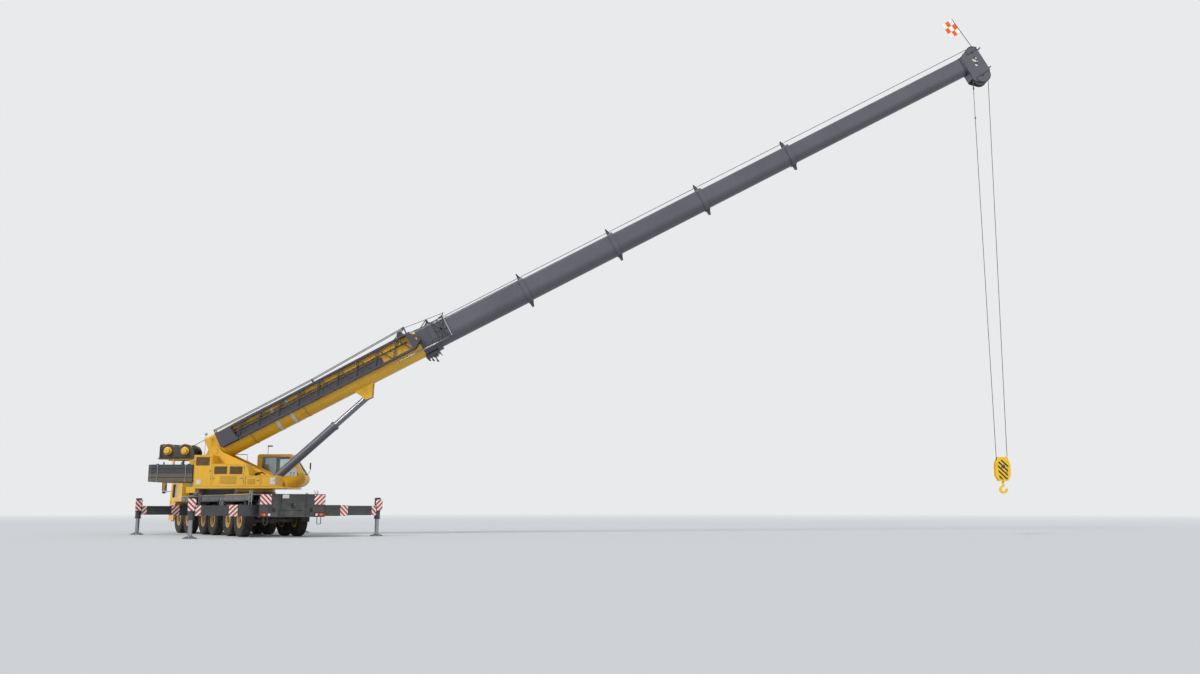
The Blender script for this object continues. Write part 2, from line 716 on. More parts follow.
def band(outline: np.ndarray, wall: float, start: float, stop: float) -> Form:
    """A strap round a (y, z) outline, wall thick, that covers start to stop along X."""
    outline = np.asarray(outline, float)
    ahead = np.roll(outline, -1, 0) - np.roll(outline, 1, 0)
    out = np.stack([ahead[:, 1], -ahead[:, 0]], -1) / np.linalg.norm(ahead, axis=1, keepdims=True)
    middle = outline.mean(0)
    out *= np.sign(np.sum(out * (outline - middle), 1, keepdims=True))
    rings = [np.insert(outline + out * push, 0, x, axis=1)
             for push, x in ((-wall / 2, start), (wall, start), (wall, stop), (-wall / 2, stop))]
    return grid(np.stack(rings), round_u=True, round_v=True)


def coil(radius: float, wire: float, start: tuple, end: tuple, wraps: int, sides: int = 6) -> Form:
    """Rope laid on a drum: a spiral of the given wraps about the line from start to end."""
    place = turned(start, np.subtract(end, start))
    length = float(np.linalg.norm(np.subtract(end, start)))
    share = np.linspace(0, 1, wraps * 20 + 1)
    turn = share * wraps * 2 * np.pi
    middle = np.stack([radius * np.cos(turn), radius * np.sin(turn), share * length], -1)
    out = np.stack([np.cos(turn), np.sin(turn), 0 * turn], -1)
    corner = np.linspace(0, 2 * np.pi, sides, endpoint=False)[None, :, None]
    points = middle[:, None] + wire * (np.cos(corner) * out[:, None] + np.sin(corner) * np.array([0, 0, 1.0]))
    made = grid(points, round_v=True)
    first = np.arange(sides)[None]
    made.faces.append(np.concatenate([first[:, ::-1], first + (len(share) - 1) * sides]))
    return made.placed(place)


def chain(start: tuple, end: tuple, link: float, wire: float) -> Form:
    """Oval links between two points, each a quarter turn from the last."""
    run = np.subtract(end, start)
    length = float(np.linalg.norm(run))
    count = max(int(length / link), 1)
    turn = np.linspace(0, 2 * np.pi, 12, endpoint=False)
    oval = np.stack([0.32 * link * np.cos(turn), 0 * turn, 0.62 * link * np.sin(turn)], -1)
    one = tube(oval, wire, 6, ring=True)
    place = turned(start, run)
    return Form.joined([one.placed(place @ moved((0, 0, (k + 0.5) * length / count), (0, 0, 90 * (k % 2))))
                        for k in range(count)])


def slats(low: tuple, high: tuple, count: int, proud: tuple) -> Form:
    """A vent: count flat bars one over another between two corners, each leaning out by proud."""
    low, high, proud = (np.asarray(v, float) for v in (low, high, proud))
    pitch = (high[2] - low[2]) / count
    one = cuboid(low + proud, (high[0] + proud[0], high[1] + proud[1], low[2] + pitch * 0.55))
    return one.repeated(steps(count, (0, 0, 0), (0, 0, pitch)))


def seams(lines: list, wide: float = 3.0) -> Form:
    """Thin raised strips between pairs of points, that stand for joints between panels."""
    pairs = np.asarray(lines, float)
    return bars(pairs[:, 0], pairs[:, 1], wide, 4)


@dataclass
class Detail:
    """Pieces that share one place and are drawn there in millimetres."""

    place: np.ndarray = field(default_factory=lambda: np.eye(4))

    def put(self, name: str, forms: list, finish: Finish, body: str, slot: str | None = None,
            bevel: float = 0.0) -> bpy.types.Object:
        """Joins the forms, moves them to the place and shows them as one piece."""
        scale = np.diag([MM, MM, MM, 1.0])
        return show(Form.joined(forms).placed(self.place @ scale), name, finish, body, bevel)


def boom_outline(height: float, corner: float = 45.0) -> np.ndarray:
    """The boom's cross section as (y, n) points: a half circle below, rounded corners on top."""
    half = 0.4 * height
    low = np.linspace(np.pi, 2 * np.pi, 25)
    bottom = np.stack([half * np.cos(low), half * np.sin(low) + half - height / 2], -1)
    turn = np.linspace(0, np.pi / 2, 7)
    right = np.stack([half - corner + corner * np.cos(turn), height / 2 - corner + corner * np.sin(turn)], -1)
    return np.concatenate([bottom, right, (right * [-1, 1])[::-1]]) + [0, 100]


def on_carrier() -> np.ndarray:
    """The carrier's place, for a detail's default."""
    return CARRIER.copy()


def on_boom() -> np.ndarray:
    """The boom's place, for a detail's default."""
    return BOOM.copy()


@dataclass
class Studio:
    """Camera, lamps and pale floor."""

    camera_at: tuple[float, float, float] = (8.30, -25.55, 0.625)
    pitch_deg: float = 9.3
    lens_mm: float = 31.5
    backdrop: str = "#e9eaeb"
    floor_colour: str = "#cfd0d1"
    floor_half: float = 150.0
    fade_from: float = 25.0
    fade_to: float = 110.0

    def build(self) -> None:
        """Builds the camera first, then the world, the lamps and the floor."""
        data = bpy.data.cameras.new("camera")
        data.lens, data.sensor_width = self.lens_mm, 36.0
        data.clip_end = 500.0
        camera = bpy.data.objects.new("camera", data)
        camera.location = self.camera_at
        camera.rotation_euler = Euler((math.radians(90 + self.pitch_deg), 0.0, 0.0))
        bpy.context.scene.collection.objects.link(camera)
        bpy.context.scene.camera = camera
        bpy.context.scene.view_settings.view_transform = "Standard"
        self.world()
        self.lamp("key_lamp", (52.0, -18.0, -25.0), 2.2, 18.0)
        self.lamp("fill_lamp", (60.0, 20.0, 40.0), 0.7, 40.0)
        self.floor()

    def world(self) -> None:
        """A pale sky that lights plainly and shows its own colour behind the crane."""
        world = bpy.data.worlds.new("sky")
        bpy.context.scene.world = world
        world.use_nodes = True
        tree = world.node_tree
        tree.nodes.clear()
        rays = add(tree, "ShaderNodeLightPath")
        seen = maths(tree, "MAXIMUM", rays.outputs["Is Camera Ray"], rays.outputs["Is Glossy Ray"])
        seen = maths(tree, "MAXIMUM", seen, rays.outputs["Is Transmission Ray"])
        light = add(tree, "ShaderNodeBackground", {"Color": linear("#e3e8ee"), "Strength": 0.62})
        shown = add(tree, "ShaderNodeBackground", {"Color": linear(self.backdrop), "Strength": 1.0})
        mixed = add(tree, "ShaderNodeMixShader",
                    {0: seen, 1: light.outputs[0], 2: shown.outputs[0]})
        add(tree, "ShaderNodeOutputWorld", {"Surface": mixed.outputs[0]})

    def lamp(self, name: str, turn_deg: tuple, strength: float, spread_deg: float) -> None:
        """Adds one soft sun."""
        data = bpy.data.lights.new(name, "SUN")
        data.energy, data.angle = strength, math.radians(spread_deg)
        lamp = bpy.data.objects.new(name, data)
        lamp.rotation_euler = Euler([math.radians(t) for t in turn_deg])
        bpy.context.scene.collection.objects.link(lamp)

    def floor(self) -> None:
        """A wide pale floor that fades into the backdrop far away."""
        size = self.floor_half
        corners = np.array([[[-size, -size, 0], [size, -size, 0]], [[-size, size, 0], [size, size, 0]]],
                           float)
        form = grid(corners)
        form.faces[0] = form.faces[0][:, ::-1]
        floor = bpy.data.objects.new("floor", form.mesh("floor"))
        bpy.context.scene.collection.objects.link(floor)
        made = bpy.data.materials.new("studio_floor")
        made.use_nodes = True
        tree = made.node_tree
        tree.nodes.clear()
        place = add(tree, "ShaderNodeTexCoord").outputs["Object"]
        away = add(tree, "ShaderNodeVectorMath", {0: place}, operation="LENGTH").outputs["Value"]
        far = ranged(tree, away, self.fade_from, self.fade_to)
        matt = add(tree, "ShaderNodeBsdfDiffuse", {"Color": linear(self.floor_colour)})
        glow = add(tree, "ShaderNodeEmission", {"Color": linear(self.backdrop)})
        mixed = add(tree, "ShaderNodeMixShader",
                    {0: far, 1: matt.outputs[0], 2: glow.outputs[0]})
        add(tree, "ShaderNodeOutputMaterial", {"Surface": mixed.outputs[0]})
        floor.data.materials.append(made)


@dataclass
class Wheels:
    """Twelve tyres with tread and yellow disc rims, in the place of the plain wheels."""

    bead_r: float = 177 * MM
    tread_r: float = 372 * MM
    half_w: float = 112.5 * MM
    lugs: int = 45
    groove: float = 10 * MM
    groove_share: float = 0.3
    groove_lean: float = 0.6
    ring_at: float = 0.22
    ring_half: float = 0.045
    crown_from: float = 0.3635
    nuts: int = 10
    nut_circle: float = 0.068
    hand_holes: int = 10
    hand_hole_r: float = 0.017
    disc_mid_r: float = 0.112
    disc_half: float = 0.034
    dish: float = 0.014

    def tyre(self) -> Form:
        """A tyre about the Z axis, its cross section a line through the sidewall's points.

        The tread drops by the groove's depth where the angle and the width fall in a groove.

        Returns:
            The tyre, its outer side towards +Z.
        """
        marks = np.array([[self.bead_r, -0.088], [0.215, -0.106], [0.262, -self.half_w],
                          [0.318, -self.half_w], [0.350, -0.106], [0.364, -0.094], [self.tread_r, -0.078]])
        marks = np.concatenate([marks, marks[::-1] * [1, -1]])
        reach = np.concatenate([[0], np.cumsum(np.linalg.norm(np.diff(marks, axis=0), axis=1))])
        crown = np.linspace(reach[6], reach[7], 20)
        stops = np.concatenate([np.linspace(0, reach[6], 10)[:-1], crown,
                                np.linspace(reach[7], reach[-1], 10)[1:]])
        line = np.stack([np.interp(stops, reach, marks[:, k]) for k in (0, 1)], -1)
        turn = np.arange(self.lugs * 4) / (self.lugs * 4)
        across = line[None, :, 1] / self.half_w
        slant = turn[:, None] * self.lugs + self.groove_lean * np.abs(across)
        cross_groove = (np.mod(slant + 1e-6, 1) < self.groove_share) & (np.abs(across) > self.ring_at)
        ring_groove = np.abs(np.abs(across) - self.ring_at) < self.ring_half
        on_crown = line[None, :, 0] > self.crown_from
        drop = np.where((cross_groove | ring_groove) & on_crown, self.groove, 0.0)
        radius = line[None, :, 0] - drop
        angle = 2 * np.pi * turn[:, None]
        outer = np.stack([radius * np.cos(angle), radius * np.sin(angle),
                          np.broadcast_to(line[None, :, 1], radius.shape)], -1)
        inner = outer[:, [-1, 0]] * [0.93, 0.93, 0.9]
        return grid(np.concatenate([outer, inner], 1), round_u=True, round_v=True)

    def rim(self) -> Form:
        """A rim about the Z axis: barrel, dished disc with hand holes, and hub with nuts."""
        barrel = np.array([[0.142, -0.094], [0.176, -0.094], [0.176, -0.088], [0.150, -0.080], [0.150, 0.080],
                           [0.176, 0.088], [0.176, 0.094], [0.146, 0.094], [0.142, 0.084]])
        hub = np.array([[0.0385, 0.02], [0.078, 0.02], [0.078, 0.060], [0.060, 0.074], [0.0385, 0.076]])
        forms = [lathe(barrel, np.eye(4), 60), lathe(hub, np.eye(4), 30), self.disc(0.032), self.disc(0.020)]
        turn = np.arange(self.nuts) / self.nuts * 2 * np.pi
        nuts = np.stack([self.nut_circle * np.cos(turn), self.nut_circle * np.sin(turn),
                         np.full(self.nuts, 0.058)], -1)
        forms.append(bars(nuts, nuts + [0, 0, 0.012], 0.0075, 6))
        return Form.joined(forms)

    def disc(self, depth: float) -> Form:
        """One face of the disc: each sector's points run from a round hand hole out to the sector's edge."""
        sector = 2 * np.pi / self.hand_holes
        turn = np.linspace(0, 2 * np.pi, 24, endpoint=False)
        circle = np.stack([np.cos(turn), np.sin(turn)])
        square = circle / np.abs(circle).max(0)
        mid, half = self.disc_mid_r, self.disc_half
        hole = np.stack([mid + self.hand_hole_r * np.cos(turn), 0.2 * sector * np.sin(turn) * 1.1])
        edge = np.stack([mid + half * square[0], square[1] * sector / 2])
        share = np.linspace(0, 1, 3)[:, None]
        radius = hole[0] * (1 - share) + edge[0] * share
        angle = hole[1] * (1 - share) + edge[1] * share
        spins = (np.arange(self.hand_holes) * sector)[:, None, None]
        z = depth + self.dish * np.cos((radius - 0.078) / 0.068 * np.pi / 2)
        points = np.stack([radius * np.cos(angle + spins), radius * np.sin(angle + spins),
                           np.broadcast_to(z, (self.hand_holes, *z.shape))], -1)
        return Form.joined([grid(part, round_v=True) for part in points])

    def build(self) -> None:
        """Builds each wheel at its joint, its outer side away from the carrier."""
        tyre, rim = self.tyre(), self.rim()
        left = CARRIER[:3, 1]
        for axle in AXLES:
            for side, sign in SIDED:
                name = f"wheel_{axle}_{side}"
                place = turned(JOINTS[f"spin_{name}"]["pos_m"], left * sign)
                piece = show(tyre.placed(place), f"tyre_{axle}_{side}", TYRE, name, smooth_deg=28)
                show(rim.placed(place), f"rim_{axle}_{side}", RIM_YELLOW, name)
                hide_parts(name)


@dataclass
class HoistRope:
    """Falls of the hoist rope, which shorten with the hoist."""

    lower_l: float = 2.0
    lower_r: float = 0.0068
    end_h: float = 0.1
    travel: float = 9.0

    def build(self) -> None:
        """Builds the long falls under the boom head and the short lengths over the hook block."""
        node = frame["nodes"]["hoist_falls"]
        points = np.array([v.co for v in node.data.vertices])
        low, high = points[:, 2].min(), points[:, 2].max()
        middle = points[:, 0].mean()
        forms, lower = [], []
        for part in (points[:, 0] < middle, points[:, 0] >= middle):
            one = points[part]
            foot = one[one[:, 2] < low + self.end_h].mean(0)
            head = one[one[:, 2] > one[:, 2].max() - self.end_h].mean(0)
            forms.append(tube(np.linspace(head, foot, 24), ROPE_R_MM * MM, 10))
            share = self.lower_l / (head[2] - foot[2])
            lower.append(tube(np.linspace(foot, foot + (head - foot) * share, 8), self.lower_r, 10))
        falls = show(Form.joined(forms), "long_falls", ROPE, "hoist_falls")
        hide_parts("hoist_falls")
        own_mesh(falls)
        short = show(Form.joined(lower), "short_falls", ROPE, "hook_block")
        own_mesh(short)


@dataclass
class Flag:
    """Warning flag on its whip at the boom head."""

    width: float = 0.31
    height: float = 0.43
    whip_l: float = 0.978
    whip_r: float = 0.008
    lean: tuple[float, float, float] = (-0.530, 0.0, 0.848)
    across: tuple[float, float, float] = (-0.848, 0.0, -0.530)
    hem: float = 0.008
    cloth_t: float = 0.001

    def build(self) -> None:
        """Builds the whip as a tube and the cloth as a sheet that waves away from it.

        The cloth's sideways place is a sine of its length whose height grows with the distance from the whip.
        """
        low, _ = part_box("flag")
        points = np.array([v.co for v in frame["nodes"]["flag"].data.vertices])
        foot = points[points[:, 2] < low.z + 0.02].mean(0)
        lean, across = np.array(self.lean), np.array(self.across)
        top = foot + lean * self.whip_l
        whip = show(tube(np.linspace(foot, top, 12), self.whip_r, 10), "flag_whip", BLACK_PLASTIC, "tele_5")
        u, v = np.meshgrid(np.linspace(0, 1, 40), np.linspace(0, 1, 32), indexing="ij")
        wave = 0.016 * u * np.sin(2 * np.pi * (1.3 * u + 0.25 * v)) - 0.010 * u * u
        cloth = (top - lean * self.height * (1 - v)[..., None]
                 + across * (self.hem + self.width * 0.985 * u)[..., None]
                 + np.array([0, 1, 0]) * wave[..., None])
        piece = show(grid(cloth), "flag_cloth", FLAG, "tele_5", smooth_deg=80)
        chart = piece.data.uv_layers.new(name="cloth")
        corners = np.zeros(len(piece.data.loops), np.int32)
        piece.data.loops.foreach_get("vertex_index", corners)
        flat = np.stack([u.ravel(), v.ravel()], -1)[corners]
        chart.data.foreach_set("uv", flat.astype(np.float32).ravel())
        wall = piece.modifiers.new("wall", "SOLIDIFY")
        wall.thickness, wall.offset = self.cloth_t, 0.0
        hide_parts("flag")


@dataclass
class RearEnd(Detail):
    """Rear plate of the carrier with its warning boards, lamps, blank plate and loops."""

    place: np.ndarray = field(default_factory=on_carrier)
    back: float = -2545.0
    half_w: float = 740.0

    def build(self) -> None:
        """Builds the plate first and then what is on it."""
        b, w = self.back, self.half_w
        sheet = [cuboid((b, -w, 452), (b + 21, w, 948)), cuboid((b - 12, -w, 940), (b + 21, w, 952)),
                 cuboid((b - 12, -w, 448), (b + 21, w, 458))]
        sheet += [cuboid((b - 12, y - 5, 452), (b + 2, y + 5, 948)) for y in (-w + 5, -300, 300, w - 5)]
        self.put("rear_plate", sheet, CARRIER_DARK, "carrier", "chassis_paint", 0.002)
        for side, sign, slant in zip(SIDES, SIGNS, Slant):
            board = cuboid((b - 18, sign * (w - 252), 722), (b - 11, sign * (w - 4), 938))
            finish = StripedPaint(f"warning_stripes_{slant.name.lower()}", pitch_mm=BOARD_PITCH_MM,
                                  along=(*(CARRIER[:2, 1] * slant.value), -1.0))
            self.put(f"warning_board_{side}", [board], finish, "carrier", None, 0.002)
            self.lamps(side, sign)
        frame_bar = [cuboid((b - 16, 98, 858), (b - 11, 246, 936)),
                     cuboid((b - 20, 150, 940), (b - 6, 196, 950))]
        self.put("blank_rear_plate", frame_bar, SIGN_WHITE, "carrier", None, 0.001)
        loops = [tube([[b - 6, y, 452], [b - 6, y, 300], [b - 6, y + 45, 288], [b - 6, y + 90, 300],
                                [b - 6, y + 90, 452]], 9, 10) for y in (-650, 560)]
        loops += [lathe([[26, -9], [44, -9], [48, 0], [44, 9], [26, 9], [22, 0]],
                        turned((b - 44, y, 600), (0, 1, 0)), 24) for y in (-420, 420)]
        loops += [cuboid((b - 26, y - 12, 572), (b, y + 12, 628)) for y in (-420, 420)]
        self.put("rear_step_loops", loops, FORGED, "carrier")
        flaps = [cuboid((-1650, s * 535, 330), (-1642, s * 742, 800)) for s in SIGNS]
        self.put("rear_mud_flaps", flaps, BLACK_PLASTIC, "carrier", None, 0.003)

    def lamps(self, side: str, sign: int) -> None:
        """Builds one lamp cluster: a black box with red, amber and clear lenses."""
        b = self.back
        y = [sign * (self.half_w - d) for d in (8, 236)]
        self.put(f"rear_lamp_box_{side}", [cuboid((b - 34, y[0], 466), (b - 11, y[1], 536))], BLACK_PLASTIC,
                 "carrier", None, 0.004)
        for k, finish in enumerate((RED_LENS, AMBER_LENS, RED_LENS, CLEAR_LENS)):
            start = self.half_w - 16 - 55 * k
            lens = cuboid((b - 42, sign * start, 474), (b - 32, sign * (start - 49), 528))
            self.put(f"rear_lens_{side}_{k + 1}", [lens], finish, "carrier", None, 0.004)


@dataclass
class Outriggers(Detail):
    """Mouth frames of the boxes, boards and clamps at the jacks and gussets on the floats."""

    place: np.ndarray = field(default_factory=on_carrier)

    def build(self) -> None:
        """Builds the frames on the carrier and the rest on the beams and jacks."""
        mouths, bolts = [], []
        for box in BOXES_X:
            for sign in SIGNS:
                x, y = box + BEAM_OFFSET * sign, (616 * sign, 634 * sign)
                mouths += [cuboid((x - 128, y[0], z0), (x + 118, y[1], z1))
                           for z0, z1 in ((452, 466), (716, 745))]
                mouths += [cuboid((x0, y[0], 452), (x1, y[1], 745))
                           for x0, x1 in ((x - 128, x - 100), (x + 100, x + 118))]
                heads = np.array([[x + dx, y[1], z] for dx in (-114, 109) for z in (480, 560, 640, 730)])
                bolts.append(bars(heads - [0, 4 * sign, 0], heads + [0, 9 * sign, 0], 8, 6))
        self.put("beam_mouth_frames", mouths, CARRIER_DARK, "carrier", "chassis_paint", 0.002)
        self.put("mouth_frame_bolts", bolts, JACK_STEEL, "carrier")
        for box, middle in zip(BOXES, BOXES_X):
            for side, sign in SIDED:
                self.end(f"{box}_{side}", middle + BEAM_OFFSET * sign, sign)

    def end(self, name: str, x: float, sign: int) -> None:
        """Builds one beam's end: the board behind the jack, the jack's clamps and its float's gussets."""
        y = JACK_Y * sign
        finish = StripedPaint(f"jack_board_stripes_{name}", pitch_mm=BOARD_PITCH_MM,
                              along=(*(CARRIER[:2, 1] * sign), -1.0))
        board = [cuboid((x - 78, 2003 * sign, 585), (x - 72, 2168 * sign, 842))]
        self.put(f"jack_board_{name}", board, finish, f"inner_beam_{name}", None, 0.001)
        brackets = [cuboid((x - 74, y - 40, z), (x - 55, y + 40, z + 12)) for z in (600, 690, 780)]
        brackets += [lathe([[70, 0], [78, 4], [78, 14], [70, 18], [60, 18], [60, 0]], moved((x, y, z)), 30)
                     for z in (560, 640, 760)]
        self.put(f"jack_clamps_{name}", brackets, CARRIER_DARK, f"inner_beam_{name}", "outrigger_paint")
        turns = np.arange(8) * 45
        gusset = plate([[48, 36], [132, 15], [132, 26], [60, 56], [48, 56]], -4, 4)
        ring = lathe([[134, 12], [148, 12], [148, 24], [134, 24]], moved((x, y, 0)), 36)
        forms = [gusset.placed(moved((x, y, 0), (0, 0, float(t)))) for t in turns] + [ring]
        self.put(f"float_gussets_{name}", forms, CARRIER_DARK, f"jack_{name}", "outrigger_paint")


@dataclass
class CarrierDetails(Detail):
    """Deck lids, lamps, ladders, straps, tanks, shafts, springs and exhaust of the carrier."""

    place: np.ndarray = field(default_factory=on_carrier)

    def build(self) -> None:
        """Builds the deck's upper side, then the sides, then what hangs below."""
        self.deck()
        self.sides()
        self.below()

    def deck(self) -> None:
        """Edge strips, lids, lashing eyes, the hood's vents, the exhaust and the air filter."""
        edges = [cuboid((x0, s * 738, 950), (x1, s * 746, 962)) for s in SIGNS
                 for x0, x1 in ((-2070, 2020), (2480, 3535))]
        self.put("deck_edge_strips", edges, YELLOW, "carrier", "yellow_paint", 0.001)
        spots = [(x, y) for x in (-1900, 1150, 1600, 2520) for y in (-705, 555)]
        lids = [cuboid((x, y, 950), (x + 330, y + 150, 958)) for x, y in spots]
        self.put("deck_lids", lids, DECK_PLATE, "carrier", "deck_paint", 0.002)
        grips = [tube([[x + 90, y + 75, 957], [x + 90, y + 75, 974], [x + 170, y + 75, 974],
                       [x + 170, y + 75, 957]], 5, 8) for x, y in spots]
        eyes = [tube([[x, y, 948], [x, y, 985], [x + 30, y, 997], [x + 60, y, 985], [x + 60, y, 948]], 7, 8)
                for x in (-1450, 1320, 3100) for y in (-722, 722)]
        self.put("deck_grips", grips + eyes, FORGED, "carrier")
        hood = [cuboid((2935, s * 484, z), (3480, s * 480, z + 5)) for s in SIGNS for z in (985, 1195)]
        hood += [slats((x0, s * 479, 1010), (x1, s * 485, 1180), 8, (0, s * 4, 0))
                 for x0, x1 in ((2990, 3200), (3250, 3440)) for s in SIGNS]
        hood += [cuboid((2960 + 130 * k, -430, 1240), (3040 + 130 * k, 430, 1248)) for k in range(4)]
        self.put("hood_vents", hood, ENGINE_GREY, "carrier", "deck_paint", 0.001)
        stack = tube([[2860, 560, 950], [2860, 560, 1235], [2845, 560, 1275], [2800, 560, 1300]], 32, 18)
        guard = lathe([[52, 0], [56, 0], [56, 210], [52, 210]], moved((2860, 560, 985)), 28)
        feet = [cuboid((2850, 506, z), (2870, 614, z + 12)) for z in (985, 1180)]
        self.put("exhaust_stack", [stack, guard, *feet], ENGINE_GREY, "carrier", "engine")
        self.put("air_filter", [lathe([[8, 0], [72, 0], [80, 12], [80, 150], [64, 168], [30, 176], [30, 214],
                                       [56, 220], [56, 246], [8, 252]], moved((2650, -560, 950)), 30)],
                 BLACK_PLASTIC, "carrier")

    def sides(self) -> None:
        """Skirt lamps, seams, two ladders on each side, tank straps, caps and the air tanks."""
        lamps = [cuboid((x - 22, s * 744, 862), (x + 22, s * 753, 884)) for s in SIGNS
                 for x in (-1850, -1000, -150, 700, 1550, 2650, 3350)]
        self.put("side_marker_lamps", lamps, AMBER_LENS, "carrier", None, 0.003)
        lines = [((x, s * 746, 822), (x, s * 746, 926)) for s in SIGNS
                 for x in (-1500, -700, 300, 1200, 1800, 2850, 3200)]
        lines += [((x0, s * 746, z), (x1, s * 746, z)) for s in SIGNS for z in (822, 924)
                  for x0, x1 in ((-2070, 2020), (2480, 3535))]
        self.put("skirt_seams", [seams(lines, 3.0)], CARRIER_DARK, "carrier", "chassis_paint")
        ladders = []
        for s in SIGNS:
            for x0, x1 in ((-2050, -1880), (1815, 1985)):
                ladders += [tube([[v, s * 758, 560], [v, s * 758, 1010], [v, s * 730, 1040]], 8, 8)
                            for v in (x0, x1)]
                ladders += [rod((x0, s * 758, z), (x1, s * 758, z), 7, 8) for z in (590, 690, 790, 890, 985)]
        self.put("side_ladders", ladders, RAIL_GREY, "carrier")
        square = np.array([[-1, -1], [1, -1], [1, 1], [-1, 1]])
        straps = [band(square * [214, 234] + [s * 510, 700], 4, x, x + 28) for s in SIGNS for x in (110, 320)]
        caps = [lathe([[4, 0], [46, 0], [46, 14], [40, 26], [4, 28]], turned((230, s * 719, 860), (0, s, 0)),
                      24) for s in SIGNS]
        gauge = [cuboid((150, s * 719, 520), (166, s * 726, 700)) for s in SIGNS]
        self.put("tank_straps", straps + caps + gauge, JACK_STEEL, "carrier")
        tanks = [lathe([[5, 0], [50, 4], [72, 22], [76, 60], [76, 380], [72, 418], [50, 436], [5, 440]],
                       turned((-740 + 455 * k, 0, 560), (1, 0, 0)), 24) for k in (0, 1)]
        self.put("air_tanks", tanks, CARRIER_DARK, "carrier", "chassis_paint")

    def below(self) -> None:
        """Propeller shafts with their joints, spring cylinders and brake chambers."""
        shafts = []
        for start, end in zip(AXLE_X[:-1], AXLE_X[1:]):
            shafts += [rod((start - 120, 0, 405), (end + 120, 0, 405), 24, 16)]
            shafts += [ball(38, (x, 0, 405)) for x in (start - 125, end + 125)]
            shafts += [lathe([[20, -10], [46, -10], [46, 10], [20, 10]], turned((x, 0, 405), (1, 0, 0)), 20)
                       for x in (start - 165, end + 165)]
        self.put("propeller_shafts", shafts, AXLE_BLACK, "carrier", "chassis_paint")
        springs = []
        for x in AXLE_X:
            for s in SIGNS:
                springs += [rod((x, s * 296, 430), (x, s * 296, 560), 16, 14),
                            rod((x, s * 296, 545), (x, s * 296, 720), 28, 18)]
                springs += [ball(24, (x, s * 296, 432)),
                            cuboid((x - 34, s * 256, 690), (x + 34, s * 326, 730))]
                springs += [lathe([[4, -30], [44, -28], [52, -6], [52, 6], [44, 28], [4, 30]],
                                  turned((x + 78, s * 250, 470), (1, 0, 0)), 20)]
        self.put("spring_cylinders", springs, JACK_STEEL, "carrier")


